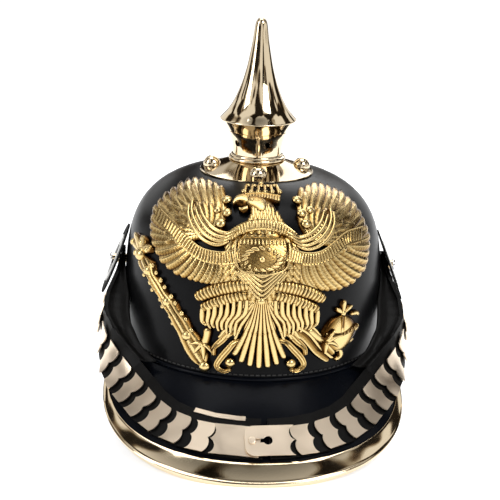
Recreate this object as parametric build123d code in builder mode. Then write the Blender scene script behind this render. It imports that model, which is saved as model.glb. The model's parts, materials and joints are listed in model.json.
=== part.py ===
from build123d import *

import os
from math import cos, radians, sin, sqrt

# Spiked leather helmet with an eagle plate, two peaks and metal chin scales.
# Millimetres, +Z up. The front faces -Y, so the wearer's left is +X.
# The origin lies on the surface the helmet stands on, below the middle of its length.

# Fits
seat_gap = 0.1
running_gap = 0.08
swing_gap = 0.5
overrun = 3.0

# Leather skull
skull_half_width = 95.0
skull_half_length = 110.0
skull_height = 125.6
skull_wall = 3.0
crown_power = 5.05
side_power = 2.68
crown_vent_radius = 8.0

# Peaks: each flares from the skull's edge to a wider ellipse at flare_depth
flare_depth = 60.0
front_flare_half_width = 146.9
front_flare_half_length = 84.1
front_flare_shift = 92.9
rear_flare_half_width = 128.0
rear_flare_half_length = 83.0
rear_flare_shift = 80.0
front_peak_drop = 52.4
peak_wall = 4.4
peak_joint_gap = 2.0
flange_wall = 2.0
flange_height = 8.0
flange_root = 3.0

# Brass edge of the front peak
trim_wall = 0.8
trim_lip = 1.2
trim_face = 15.9
trim_leg = 5.0
trim_end_rise = 1.9
trim_end_gap = 12.0

# Brass spine down the back
spine_width = 11.0
spine_wall = 1.0
spine_stud_radius = 3.2
spine_stud_shank = 1.3
spine_stud_length = 8.5
spine_stud_dome = 30.0
spine_stud_seat = 0.3
spine_stud_heights = (96.0, 46.0)

# Base plate of the spike
disc_radius = 41.4
disc_rim_height = 123.8
disc_rise = 8.1
disc_land_radius = 20.2
disc_bore_radius = 15.0
disc_wall = 0.9
stud_circle = 32.84
stud_count = 4
stud_head_radius = 6.3
stud_shank_radius = 2.0
stud_shank_end = 115.5
stud_nut_side = 8.5
stud_nut_thick = 2.6
pin_hole_radius = 0.8
pin_hole_circle = 31.0
pin_hole_angle = 38.0

# Neck and spike
neck_height = 21.2
neck_foot_radius = 18.0
neck_top_radius = 21.9
neck_wall = 1.0
neck_vent_radius = 2.4
neck_vent_height = 13.5
neck_vent_turn = 20.0
neck_vent_count = 5
neck_ring_height = 4.4
neck_ring_bulge = 1.5
bridge_height = 9.0
bridge_thick = 4.0
bridge_hub_radius = 8.0
bridge_rim = 2.5
bridge_spoke = 5.0
spike_height = 82.1
spike_collar_radius = 27.8
spike_wall = 1.2
stem_radius = 4.0
stem_length = 19.0
stem_flange = 2.0
stem_chamfer = 0.8

# Eagle plate
plate_sheet = 0.9
plate_relief = 1.6
plate_standoff = 0.3
wing_span_half = 76.0
plate_top = 123.0
plate_bottom = 6.0
post_radius = 1.5
post_length = 11.0
post_reach = 48.0
post_height = 84.0
plate_nut_radius = 3.4
plate_nut_thick = 2.2

# Side bosses and cockades
boss_y = 5.0
boss_z = 52.0
bush_radius = 3.4
bush_outer_end = 104.9
boss_screw_radius = 2.1
boss_head_radius = 4.3
boss_head_height = 2.1
boss_head_round_share = 0.8
boss_screw_end = 87.0
boss_nut_radius = 5.5
boss_nut_thick = 2.6
cockade_radius = 27.5
cockade_thick = 1.2
cockade_centre = 102.6
cockade_tilt = 21.0
cockade_flutes = 44
cockade_flute_depth = 0.9
cockade_ring_outer = 18.5
cockade_ring_inner = 12.5
cockade_ring_thick = 0.8

# Chin strap and scales
strap_leather = 2.6
strap_eye_radius = 10.0
strap_end_inset = 0.2
strap_end_share = 0.9
strap_hang_angle = 37.0
scale_height = 22.5
scale_sheet = 0.9
scale_count = 10
scale_lobe = 3.4
scale_gap = 1.4
scale_lift = 0.4
leather_margin = 7.5
strap_seat = 1.5
strap_top_cover = 23.0
lap_reach = 8.8
lap_under_reach = 4.0
end_plate_inner = 26.5
plain_plate_inner = 31.5
end_plate_corner = 6.5
button_place = 3.2
button_head_radius = 2.7
button_head_height = 1.5
button_neck_radius = 1.2
keyhole_place = 7.7
keyhole_radius = 3.1
keyhole_slot = 2.8
rivet_place = 19.0
rivet_spread = 14.0
rivet_radius = 1.3
clip_start = 8.0
clip_leg = 2.5
clip_sheet = 0.8

# Lining
band_wall = 1.5
band_height = 38.0
liner_wall = 1.2
liner_rise = 66.0
liner_slots = 10
liner_slot_width = 6.0
liner_slot_foot = 14.0

# Worked-out places
front_run = front_flare_shift + front_flare_half_length - skull_half_length
rear_run = rear_flare_shift + rear_flare_half_length - skull_half_length
front_peak_reach = skull_half_length + front_run * front_peak_drop / flare_depth
front_slope = front_peak_drop / front_peak_reach
trim_grow = seat_gap + trim_wall
brim_height = (front_slope * (skull_half_length + trim_grow) + trim_lip) / (
    1 - front_slope * front_run / flare_depth
)
front_reach = skull_half_length + trim_grow + front_run * brim_height / flare_depth
rear_reach = skull_half_length + rear_run * brim_height / flare_depth
rear_slope = brim_height / rear_reach
skull_y = (front_reach - rear_reach) / 2
skull_center = Vector(0, skull_y, brim_height)
skull_plan = Plane(skull_center)
skull_profile = Plane(skull_center, x_dir=(1, 0, 0), z_dir=(0, -1, 0))
skull_side = Plane(skull_center, x_dir=(0, 1, 0), z_dir=(1, 0, 0))
skull_axis = Axis(skull_center, (0, 0, 1))
neck_base = disc_rim_height + disc_rise
spike_base = neck_base + neck_height
all_around = 2 * (skull_half_length + front_reach)

os.makedirs("parts", exist_ok=True)


# Shared shapes

dome_height_shares = (0, 0.2, 0.4, 0.55, 0.68, 0.78, 0.86, 0.92, 0.96, 0.985, 0.997, 1)


def dome_share(height_share):
    """Radius of the dome at a height, as a share of its radius at the brim."""
    return (1 - height_share**crown_power) ** (1 / side_power)


def dome(grow):
    """Closed dome of the skull's shape, grown outwards by a distance."""
    half_width = skull_half_width + grow
    height = skull_height + grow
    stretch = (skull_half_length + grow) / half_width
    with BuildPart() as body:
        with BuildSketch(skull_profile):
            with BuildLine():
                edge = Spline(
                    *[(half_width * dome_share(s), height * s) for s in dome_height_shares],
                    tangents=((0, 1), (-1, 0)),
                )
                Polyline(edge @ 1, (0, 0), edge @ 0)
            make_face()
        revolve(axis=skull_axis)
    return scale(body.part, by=(1, stretch, 1), about=skull_center)


def flare(half_width, half_length, shift, grow):
    """Closed skirt between the brim's ellipse and a wider one below it."""
    with BuildPart() as body:
        with BuildSketch(skull_plan):
            Ellipse(skull_half_width + grow, skull_half_length + grow)
        with BuildSketch(Plane(skull_center + (0, shift, -flare_depth))):
            Ellipse(half_width + grow, half_length + grow)
        loft(ruled=True)
    return body.part


def front_flare(grow):
    """The front peak's skirt, grown sideways."""
    return flare(front_flare_half_width, front_flare_half_length, -front_flare_shift, grow)


def rear_flare(grow):
    """The rear peak's skirt, grown sideways."""
    return flare(rear_flare_half_width, rear_flare_half_length, rear_flare_shift, grow)


def rim_plane(slope, rise):
    """Plane through the brim's middle line, falling forwards by a slope, raised by a height."""
    return Plane(skull_center + (0, 0, rise), x_dir=(1, 0, 0), z_dir=(0, -slope, 1))


def dome_surface(x, height, side, grow):
    """Plane on the dome at a place across and a height, its normal pointing outwards."""
    half_width = skull_half_width + grow
    half_length = skull_half_length + grow
    rise = skull_height + grow
    share = dome_share(height / rise)
    y = side * half_length * sqrt(share**2 - (x / half_width) ** 2)
    radial = side_power * share ** (side_power - 2)
    normal = Vector(
        radial * x / half_width**2,
        radial * y / half_length**2,
        crown_power * height ** (crown_power - 1) / rise**crown_power,
    )
    return Plane(skull_center + (x, y, height), z_dir=normal)


def keep(part, name):
    """Label a finished piece and write it."""
    part.label = name
    export_step(part, "parts/" + name + ".step")


# Leather skull: dome with holes for the base studs, plate posts, bosses and spine studs

skull_body = dome(0)
skull_hollow = dome(-skull_wall)
with BuildPart() as skull_shell:
    add(skull_body)
    add(skull_hollow, mode=Mode.SUBTRACT)
    with BuildSketch(skull_plan.offset(disc_rim_height / 2)):
        Circle(crown_vent_radius)
        with PolarLocations(stud_circle, stud_count):
            Circle(stud_shank_radius + seat_gap)
    extrude(amount=skull_height, mode=Mode.SUBTRACT)
    with BuildSketch(skull_side):
        with Locations((boss_y, boss_z)):
            Circle(boss_screw_radius + seat_gap)
    extrude(amount=all_around, both=True, mode=Mode.SUBTRACT)
    for side in (1, -1):
        with BuildSketch(dome_surface(side * post_reach, post_height, -1, 0)):
            Circle(post_radius + seat_gap)
        extrude(amount=overrun + skull_wall, both=True, mode=Mode.SUBTRACT)
    for height in spine_stud_heights:
        with BuildSketch(dome_surface(0, height, 1, 0)):
            Circle(spine_stud_shank + seat_gap)
        extrude(amount=overrun + skull_wall, both=True, mode=Mode.SUBTRACT)
keep(skull_shell.part, "skull_shell")


# Peaks: a flared leather skirt cut by a sloping plane, with a flange sewn inside the skull

flange_outer_x = skull_half_width - skull_wall - seat_gap
flange_outer_y = skull_half_length - skull_wall - seat_gap


def peak_flange():
    """Upright flange of a peak, a full ring that each peak cuts in half."""
    with BuildPart() as ring:
        with BuildSketch(skull_plan.offset(-flange_root)):
            Ellipse(flange_outer_x, flange_outer_y)
            Ellipse(flange_outer_x - flange_wall, flange_outer_y - flange_wall, mode=Mode.SUBTRACT)
        extrude(amount=flange_root + flange_height)
    return ring.part


front_skirt = front_flare(0)
front_hollow = front_flare(-peak_wall)
rear_skirt = rear_flare(0)
rear_hollow = rear_flare(-peak_wall)
flange_ring = peak_flange()
front_half = Plane(skull_center - (0, peak_joint_gap, 0), x_dir=(1, 0, 0), z_dir=(0, -1, 0))
rear_half = Plane(skull_center + (0, peak_joint_gap, 0), x_dir=(1, 0, 0), z_dir=(0, 1, 0))

with BuildPart() as front_peak:
    add(front_skirt)
    add(front_hollow, mode=Mode.SUBTRACT)
    split(bisect_by=rim_plane(front_slope, 0), keep=Keep.TOP)
    add(flange_ring)
    split(bisect_by=front_half, keep=Keep.TOP)
keep(front_peak.part, "front_peak")

with BuildPart() as rear_peak:
    add(rear_skirt)
    add(rear_hollow, mode=Mode.SUBTRACT)
    split(bisect_by=rim_plane(-rear_slope, 0), keep=Keep.TOP)
    add(flange_ring)
    split(bisect_by=rear_half, keep=Keep.TOP)
keep(rear_peak.part, "rear_peak")


# Brass edge: a channel of sheet over the front peak's rim, wide on top and narrow below

flare_slant = sqrt(front_run**2 + flare_depth**2)
trim_top = trim_face * (flare_depth - front_slope * front_run) / flare_slant
trim_top_reach = front_peak_reach - trim_face * front_run / flare_slant
trim_slope = front_slope - (trim_top - trim_end_rise) / trim_top_reach
trim_outside = front_flare(trim_grow)
trim_inside = front_flare(-peak_wall - trim_grow)
trim_slot = front_flare(seat_gap)
trim_slot_inside = front_flare(-peak_wall - seat_gap)

with BuildPart() as trim_channel:
    add(trim_slot)
    add(trim_slot_inside, mode=Mode.SUBTRACT)
    split(bisect_by=rim_plane(front_slope, -seat_gap), keep=Keep.TOP)

with BuildPart() as trim_core:
    add(trim_slot_inside)
    split(bisect_by=rim_plane(front_slope, trim_leg), keep=Keep.TOP)

with BuildPart() as front_trim:
    add(trim_outside)
    add(trim_inside, mode=Mode.SUBTRACT)
    split(bisect_by=rim_plane(front_slope, -trim_lip), keep=Keep.TOP)
    add(trim_channel.part, mode=Mode.SUBTRACT)
    add(trim_core.part, mode=Mode.SUBTRACT)
    split(bisect_by=rim_plane(trim_slope, trim_end_rise), keep=Keep.BOTTOM)
    split(bisect_by=front_half.offset(trim_end_gap), keep=Keep.TOP)
keep(front_trim.part, "front_trim")


# Brass spine: a strip from the base plate down the back of the skull and the rear peak

spine_dome = dome(seat_gap + spine_wall)
spine_dome_bed = dome(seat_gap)
spine_flare = rear_flare(seat_gap + spine_wall)
spine_flare_bed = rear_flare(seat_gap)
spine_top_y = disc_radius + seat_gap

with BuildPart() as rear_spine:
    add(spine_dome)
    add(spine_flare)
    add(spine_dome_bed, mode=Mode.SUBTRACT)
    add(spine_flare_bed, mode=Mode.SUBTRACT)
    with BuildSketch(skull_profile):
        with Locations((0, skull_height / 2)):
            Rectangle(spine_width, 2 * (skull_height + flare_depth))
    extrude(amount=-all_around, mode=Mode.INTERSECT)
    split(bisect_by=rear_half.offset(spine_top_y - peak_joint_gap), keep=Keep.TOP)
    split(bisect_by=rim_plane(-rear_slope, 0), keep=Keep.TOP)
    for height in spine_stud_heights:
        with BuildSketch(dome_surface(0, height, 1, 0)):
            Circle(spine_stud_shank + seat_gap)
        extrude(amount=overrun + spine_wall, both=True, mode=Mode.SUBTRACT)
keep(rear_spine.part, "rear_spine")

with BuildPart() as spine_studs:
    for height in spine_stud_heights:
        head_plane = dome_surface(0, height, 1, 0).offset(seat_gap + spine_wall + spine_stud_seat)
        with BuildSketch(head_plane):
            Circle(spine_stud_radius)
        extrude(amount=spine_stud_radius / 2, taper=spine_stud_dome)
        with BuildSketch(head_plane):
            Circle(spine_stud_shank)
        extrude(amount=-spine_stud_length)
keep(spine_studs.part, "spine_studs")


# Base plate of the spike: dished disc with a flat land for the neck

disc_slope = disc_rise / (disc_radius - disc_land_radius)


def disc_top(radius):
    """Height of the base plate's top face above the brim, at a radius on its cone."""
    return disc_rim_height + disc_slope * (disc_radius - radius)


with BuildPart() as disc_envelope:
    with BuildSketch(skull_profile):
        with BuildLine():
            Polyline(
                (0, neck_base),
                (disc_land_radius, neck_base),
                (disc_radius, disc_rim_height),
                (disc_radius, disc_rim_height - skull_height),
                (0, disc_rim_height - skull_height),
                close=True,
            )
        make_face()
    revolve(axis=skull_axis)

with BuildPart() as base_plate:
    with BuildSketch(skull_profile):
        with BuildLine():
            Polyline(
                (disc_bore_radius, neck_base),
                (disc_land_radius, neck_base),
                (disc_radius, disc_rim_height),
                (disc_radius, disc_rim_height - disc_wall),
                (disc_land_radius, neck_base - disc_wall),
                (disc_bore_radius, neck_base - disc_wall),
                close=True,
            )
        make_face()
    revolve(axis=skull_axis)
    with BuildSketch(skull_plan):
        with PolarLocations(stud_circle, stud_count):
            Circle(stud_shank_radius + seat_gap)
        with PolarLocations(pin_hole_circle, stud_count, start_angle=90 - pin_hole_angle):
            Circle(pin_hole_radius)
    extrude(amount=2 * skull_height, mode=Mode.SUBTRACT)
    add(skull_body, mode=Mode.SUBTRACT)
keep(base_plate.part, "base_plate")

stud_seat = disc_top(stud_circle)
with BuildPart() as base_studs:
    with Locations(skull_plan.offset(stud_seat + seat_gap)):
        with PolarLocations(stud_circle, stud_count):
            Sphere(stud_head_radius)
    add(disc_envelope.part.moved(Location((0, 0, seat_gap))), mode=Mode.SUBTRACT)
    with BuildSketch(skull_plan.offset(stud_shank_end)):
        with PolarLocations(stud_circle, stud_count):
            Circle(stud_shank_radius)
    extrude(amount=stud_seat + stud_head_radius / 2 - stud_shank_end)
keep(base_studs.part, "base_studs")

nut_edge = stud_circle + stud_nut_side / 2
inner_share = nut_edge / (skull_half_width - skull_wall)
nut_top = (skull_height - skull_wall) * (1 - inner_share**side_power) ** (1 / crown_power)
with BuildPart() as base_stud_nuts:
    with BuildSketch(skull_plan.offset(nut_top - seat_gap)):
        with PolarLocations(stud_circle, stud_count):
            Rectangle(stud_nut_side, stud_nut_side)
            Circle(stud_shank_radius + running_gap, mode=Mode.SUBTRACT)
    extrude(amount=-stud_nut_thick)
keep(base_stud_nuts.part, "base_stud_nuts")


# Neck: a flared tube with vent holes, a moulded ring round its foot and a bridge inside

neck_height_shares = (0, 0.43, 0.72, 1)
neck_radius_shares = (0, 0.08, 0.44, 1)
neck_top_lean = 3.0
neck_flare = neck_top_radius - neck_foot_radius
neck_top_way = (neck_flare, neck_height / neck_top_lean)
neck_points = [
    (neck_foot_radius + neck_flare * r, neck_base + seat_gap + (neck_height - seat_gap) * h)
    for h, r in zip(neck_height_shares, neck_radius_shares)
]

with BuildPart() as spike_neck:
    with BuildSketch(skull_profile):
        with BuildLine():
            outer = Spline(*neck_points, tangents=((0, 1), neck_top_way))
            inner = Spline(
                *[(r - neck_wall, h) for r, h in neck_points],
                tangents=((0, 1), neck_top_way),
            )
            Line(outer @ 0, inner @ 0)
            Line(outer @ 1, inner @ 1)
        make_face()
    revolve(axis=skull_axis)
    for i in range(neck_vent_count):
        turn = radians(neck_vent_turn + 360 * i / neck_vent_count)
        vent_axis = (sin(turn), -cos(turn), 0)
        vent_plane = Plane(skull_center + (0, 0, neck_base + neck_vent_height), z_dir=vent_axis)
        with BuildSketch(vent_plane):
            Circle(neck_vent_radius)
        extrude(amount=2 * neck_top_radius, mode=Mode.SUBTRACT)
keep(spike_neck.part, "spike_neck")

ring_inner = neck_foot_radius + neck_flare * neck_radius_shares[1] + seat_gap
ring_bottom = neck_base + seat_gap
with BuildPart() as neck_ring:
    with BuildSketch(skull_profile):
        with BuildLine():
            Line((ring_inner, ring_bottom), (ring_inner, ring_bottom + neck_ring_height))
            ThreePointArc(
                (ring_inner, ring_bottom + neck_ring_height),
                (ring_inner + neck_ring_bulge, ring_bottom + neck_ring_height / 2),
                (ring_inner, ring_bottom),
            )
        make_face()
    revolve(axis=skull_axis)
keep(neck_ring.part, "neck_ring")

bridge_radius = neck_foot_radius - neck_wall - seat_gap
with BuildPart() as neck_bridge:
    with BuildSketch(skull_plan.offset(neck_base + bridge_height)):
        Circle(bridge_radius)
        Circle(bridge_radius - bridge_rim, mode=Mode.SUBTRACT)
        Circle(bridge_hub_radius)
        with PolarLocations(0, 2, angular_range=180):
            Rectangle(2 * bridge_radius - bridge_rim, bridge_spoke)
        Circle(stem_radius + running_gap, mode=Mode.SUBTRACT)
    extrude(amount=-bridge_thick)
keep(neck_bridge.part, "neck_bridge")


# Spike: spun hollow brass, flared to a rolled collar, with a threaded stem under it

spike_shares = (
    (0, 0.79), (0.06, 0.9), (0.102, 1), (0.145, 0.91), (0.217, 0.745), (0.29, 0.626), (0.362, 0.536),
    (0.433, 0.457), (0.575, 0.338), (0.717, 0.259), (0.858, 0.194), (0.95, 0.15), (0.985, 0.1),
)
collar_shares = spike_shares[:3]
point_shares = spike_shares[2:]
hollow_shares = spike_shares[2:10]
collar_under_way = (1, 3)
point_way = (-1, 6)
spike_foot = spike_base + seat_gap


def spike_points(shares, wall):
    """Points of the spike's profile, moved inwards by a wall."""
    return [
        (spike_collar_radius * r - wall, spike_foot + (spike_height - wall) * h)
        for h, r in shares
    ]


with BuildPart() as spike:
    with BuildSketch(skull_profile):
        with BuildLine():
            under = Spline(*spike_points(collar_shares, 0), tangents=(collar_under_way, (0, 1)))
            over = Spline(
                *spike_points(point_shares, 0),
                (0, spike_foot + spike_height),
                tangents=((0, 1), (-1, 0)),
            )
            Polyline(over @ 1, (0, spike_foot), under @ 0)
        make_face()
    revolve(axis=skull_axis)
    with BuildSketch(skull_profile):
        with BuildLine():
            under = Spline(
                *spike_points(collar_shares, spike_wall), tangents=(collar_under_way, (0, 1))
            )
            over = Spline(*spike_points(hollow_shares, spike_wall), tangents=((0, 1), point_way))
            Polyline(over @ 1, (0, (over @ 1).Y), (0, spike_foot), under @ 0)
        make_face()
    revolve(axis=skull_axis, mode=Mode.SUBTRACT)
keep(spike.part, "spike")

stem_flange_radius = spike_collar_radius * spike_shares[0][1] - spike_wall - seat_gap
with BuildPart() as spike_stem:
    with BuildSketch(skull_plan.offset(spike_foot)):
        Circle(stem_flange_radius)
    extrude(amount=stem_flange)
    with BuildSketch(skull_plan.offset(spike_foot)):
        Circle(stem_radius)
    extrude(amount=-stem_length)
    chamfer(spike_stem.faces().sort_by(Axis.Z)[0].edges(), length=stem_chamfer)
keep(spike_stem.part, "spike_stem")


# Eagle plate: one stamped sheet bent to the dome, with a raised body, head, wing arms and legs

plate_rise = plate_top - plate_bottom
wing_shares = (
    (0.38, 1.0), (0.69, 0.963), (0.895, 0.877), (0.975, 0.787), (1.0, 0.694), (0.97, 0.56),
    (0.83, 0.495), (0.66, 0.495), (0.5, 0.524), (0.36, 0.56), (0.15, 0.6), (0.15, 0.8),
    (0.27, 0.8), (0.42, 0.804), (0.38, 0.838), (0.33, 0.888), (0.315, 0.93), (0.42, 0.961),
)
wing_arm_shares = (
    (0.44, 0.94), (0.66, 0.9), (0.8, 0.81), (0.62, 0.74), (0.42, 0.7), (0.2, 0.66),
    (0.2, 0.76), (0.42, 0.78), (0.55, 0.84), (0.46, 0.89),
)
body_shares = (
    (0, 0.82), (0.2, 0.8), (0.3, 0.72), (0.31, 0.6), (0.34, 0.46), (0.4, 0.38), (0.3, 0.28),
    (0.2, 0.24), (0.13, 0.18), (0, 0.16),
)
head_shares = (
    (0.0, 0.8), (-0.19, 0.81), (-0.19, 0.88), (-0.17, 0.92), (-0.27, 0.952), (-0.24, 0.968),
    (-0.16, 0.975), (-0.16, 0.995), (0.0, 1.0), (0.16, 0.995), (0.18, 0.93), (0.2, 0.86), (0.24, 0.8),
)
tail_shares = (
    (0, 0.24), (0.17, 0.24), (0.26, 0.17), (0.36, 0.12), (0.38, 0.08), (0.32, 0.045),
    (0.24, 0.055), (0.2, 0.03), (0.1, 0.03), (0, 0.015),
)
thigh_shares = ((0.28, 0.48), (0.52, 0.5), (0.61, 0.42), (0.54, 0.37), (0.42, 0.29), (0.3, 0.3))
claw_shares = ((0.28, 0.31), (0.44, 0.3), (0.62, 0.14), (0.54, 0.06), (0.42, 0.12), (0.28, 0.26))
sceptre_shares = (
    (-0.4, 0.0), (-0.48, 0.02), (-0.7, 0.18), (-0.86, 0.34), (-0.96, 0.47), (-1.14, 0.5),
    (-1.17, 0.56), (-1.04, 0.6), (-1.03, 0.66), (-0.96, 0.6), (-0.9, 0.63), (-0.88, 0.47),
    (-0.78, 0.34), (-0.62, 0.18),
)
orb_centre_shares = (0.66, 0.19)
orb_radius_share = 0.2
orb_boss_share = 0.16
orb_cross_shares = ((0.7, 0.3), (0.78, 0.39), (0.9, 0.33), (0.84, 0.24))


def plate_points(shares, side=1):
    """Points across and above the brim, from shares of the plate's half span and rise."""
    return [(side * wing_span_half * x, plate_bottom + plate_rise * z) for x, z in shares]


plate_bed = dome(plate_standoff)
plate_face = dome(plate_standoff + plate_sheet)
relief_face = dome(plate_standoff + plate_sheet + plate_relief)

with BuildPart() as plate_base:
    with BuildSketch(skull_profile):
        for side in (1, -1):
            Polygon(*plate_points(wing_shares, side), align=None)
            Polygon(*plate_points(body_shares, side), align=None)
            Polygon(*plate_points(tail_shares, side), align=None)
            Polygon(*plate_points(thigh_shares, side), align=None)
            Polygon(*plate_points(claw_shares, side), align=None)
        Polygon(*plate_points(head_shares), align=None)
        Polygon(*plate_points(sceptre_shares), align=None)
        Polygon(*plate_points(orb_cross_shares), align=None)
        with Locations(plate_points([orb_centre_shares])[0]):
            Circle(wing_span_half * orb_radius_share)
    extrude(amount=all_around)
    add(plate_face, mode=Mode.INTERSECT)
    add(plate_bed, mode=Mode.SUBTRACT)

with BuildPart() as plate_raised:
    with BuildSketch(skull_profile):
        for side in (1, -1):
            Polygon(*plate_points(wing_arm_shares, side), align=None)
            Polygon(*plate_points(body_shares, side), align=None)
            Polygon(*plate_points(thigh_shares, side), align=None)
        Polygon(*plate_points(head_shares[:-1]), align=None)
        with Locations(plate_points([orb_centre_shares])[0]):
            Circle(wing_span_half * orb_boss_share)
        offset(amount=-plate_sheet, kind=Kind.INTERSECTION)
    extrude(amount=all_around)
    add(relief_face, mode=Mode.INTERSECT)
    add(plate_bed, mode=Mode.SUBTRACT)

with BuildPart() as eagle_plate:
    add(plate_base.part)
    add(plate_raised.part)
keep(eagle_plate.part, "eagle_plate")

with BuildPart() as plate_posts:
    for side in (1, -1):
        post_plane = dome_surface(side * post_reach, post_height, -1, 0)
        with BuildSketch(post_plane.offset(plate_standoff)):
            Circle(post_radius)
        extrude(amount=-post_length)
    add(plate_bed, mode=Mode.INTERSECT)
keep(plate_posts.part, "plate_posts")

with BuildPart() as plate_nuts:
    for side in (1, -1):
        post_plane = dome_surface(side * post_reach, post_height, -1, 0)
        with BuildSketch(post_plane.offset(-skull_wall - seat_gap)):
            RegularPolygon(plate_nut_radius, 6)
            Circle(post_radius + running_gap, mode=Mode.SUBTRACT)
        extrude(amount=-plate_nut_thick)
    add(skull_hollow, mode=Mode.INTERSECT)
keep(plate_nuts.part, "plate_nuts")


# Side bosses: a bush against the skull, held by a screw and a nut inside

side_names = {1: "left", -1: "right"}
for side, side_name in side_names.items():
    boss_plane = Plane(
        skull_center + (0, boss_y, boss_z), x_dir=(0, side, 0), z_dir=(side, 0, 0)
    )
    with BuildPart() as boss_bush:
        with BuildSketch(boss_plane.offset(skull_half_width / 2)):
            Circle(bush_radius)
            Circle(boss_screw_radius + seat_gap, mode=Mode.SUBTRACT)
        extrude(amount=bush_outer_end - skull_half_width / 2)
        add(skull_body, mode=Mode.SUBTRACT)
    keep(boss_bush.part, side_name + "_boss_bush")

    with BuildPart() as boss_screw:
        with BuildSketch(boss_plane.offset(bush_outer_end + seat_gap)):
            Circle(boss_head_radius)
        extrude(amount=boss_head_height)
        head_face = boss_screw.faces().sort_by(Axis(boss_plane.origin, boss_plane.z_dir))[-1]
        fillet(head_face.edges(), boss_head_height * boss_head_round_share)
        with BuildSketch(boss_plane.offset(boss_screw_end)):
            Circle(boss_screw_radius)
        extrude(amount=bush_outer_end + seat_gap - boss_screw_end)
    keep(boss_screw.part, side_name + "_boss_screw")

    nut_face = (skull_half_width - skull_wall) * sqrt(
        dome_share((boss_z + boss_nut_radius) / (skull_height - skull_wall)) ** 2
        - ((boss_y + boss_nut_radius) / (skull_half_length - skull_wall)) ** 2
    )
    with BuildPart() as boss_nut:
        with BuildSketch(boss_plane.offset(nut_face - seat_gap)):
            RegularPolygon(boss_nut_radius, 6)
            Circle(boss_screw_radius + running_gap, mode=Mode.SUBTRACT)
        extrude(amount=-boss_nut_thick)
    keep(boss_nut.part, side_name + "_boss_nut")

    # Cockade: a fluted disc leaning outwards at its foot, with a plain ring on its face
    cockade_plane = Plane(
        skull_center + (side * cockade_centre, boss_y, boss_z),
        x_dir=(0, 1, 0),
        z_dir=(side * cos(radians(cockade_tilt)), 0, sin(radians(cockade_tilt))),
    )
    with BuildPart() as cockade:
        with BuildSketch(cockade_plane.offset(-cockade_thick / 2)):
            Circle(cockade_radius)
            with PolarLocations(cockade_radius + cockade_flute_depth / 2, cockade_flutes):
                Circle(cockade_flute_depth, mode=Mode.SUBTRACT)
        extrude(amount=cockade_thick)
        with BuildSketch(boss_plane):
            Circle(bush_radius + seat_gap)
        extrude(amount=2 * cockade_centre, mode=Mode.SUBTRACT)
    keep(cockade.part, side_name + "_cockade")

    with BuildPart() as cockade_ring:
        with BuildSketch(cockade_plane.offset(cockade_thick / 2)):
            Circle(cockade_ring_outer)
            Circle(cockade_ring_inner, mode=Mode.SUBTRACT)
        extrude(amount=cockade_ring_thick)
    keep(cockade_ring.part, side_name + "_cockade_ring")


# Chin strap path: over the front peak above its brass edge, then up the side to the boss

def peak_generator(angle):
    """Top and foot of the straight line down the front peak at an angle from dead ahead."""
    x = sin(radians(angle))
    y = -cos(radians(angle))
    top = Vector(skull_half_width * x, skull_half_length * y, 0)
    foot = Vector(
        front_flare_half_width * x,
        front_flare_half_length * y - front_flare_shift,
        -flare_depth,
    )
    return top, foot


def strap_edge(angle, seat):
    """Point on the peak where the strap's lower edge lies, at an angle from dead ahead."""
    top, foot = peak_generator(angle)
    fall = (foot - top).Z - front_slope * (foot - top).Y
    rim_share = front_slope * top.Y / fall
    up_share = (trim_face + seat) / (foot - top).length
    return top + (foot - top) * (rim_share - up_share)


strap_angles = (0, 10, 20, 30, 40, 50)
flank_shares = (
    (1.003, -0.437, -0.112),
    (1.085, -0.35, 0.065),
    (1.142, -0.265, 0.25),
    (1.13, -0.175, 0.46),
    (1.055, -0.085, 0.72),
)
flank_lean_shares = (0.8, 0.5, 0.22, 0.05, 0)
strap_width = scale_height + leather_margin
probe_angle = 1.0


def strap_frame(angle):
    """Centre of the strap on the peak, and the way across it, at an angle from dead ahead."""
    edge = strap_edge(angle, strap_seat)
    ahead = strap_edge(angle + probe_angle, strap_seat)
    along = (ahead - strap_edge(angle - probe_angle, strap_seat)).normalized()
    top, foot = peak_generator(angle)
    normal = (foot - top).cross(along).normalized()
    across = normal.cross(along).normalized()
    lift = swing_gap + strap_leather / 2
    return edge + across * (strap_width / 2) + normal * lift, across


hang = Vector(0, -cos(radians(strap_hang_angle)), -sin(radians(strap_hang_angle)))
hang_across = Vector(0, -sin(radians(strap_hang_angle)), cos(radians(strap_hang_angle)))
eye = Vector(skull_half_width + swing_gap + strap_leather / 2, boss_y, boss_z)
peak_frames = [strap_frame(a) for a in strap_angles]
last_across = peak_frames[-1][1]
flank_centres = [
    Vector(skull_half_width * x, front_peak_reach * y, (boss_z if z > 0 else front_peak_drop) * z)
    for x, y, z in flank_shares
]
flank_acrosses = [
    (hang_across * (1 - lean) + last_across * lean).normalized() for lean in flank_lean_shares
]
path_centres = [c for c, _ in peak_frames] + flank_centres + [eye]
path_acrosses = [a for _, a in peak_frames] + flank_acrosses + [hang_across]
path_lengths = [0.0]
for near, far in zip(path_centres, path_centres[1:]):
    path_lengths.append(path_lengths[-1] + (far - near).length)
path_marks = [length / path_lengths[-1] for length in path_lengths]


def path_spline(points):
    """Smooth line through the strap's places, with the same marks for every line."""
    return Edge.make_spline(points, tangents=(Vector(1, 0, 0), -hang), parameters=path_marks)


centre_line = path_spline(path_centres)
upper_line = path_spline([c + a * strap_width / 2 for c, a in zip(path_centres, path_acrosses)])


def mirror_x(vector):
    """The mirror image of a vector or place on the helmet's other side."""
    return Vector(-vector.X, vector.Y, vector.Z)


def strap_place(distance):
    """Centre, way along, way across and way out of the strap at a distance from the front."""
    reach = abs(distance)
    centre = centre_line.position_at(reach, position_mode=PositionMode.LENGTH)
    mark = centre_line.param_at_point(centre)
    along = centre_line.tangent_at(mark)
    across = upper_line.position_at(mark) - centre
    if distance < 0:
        centre = mirror_x(centre)
        along = mirror_x(along) * -1
        across = mirror_x(across)
    out = along.cross(across).normalized()
    return skull_center + centre, along, out.cross(along).normalized(), out



# Strap sections and planes

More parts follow.
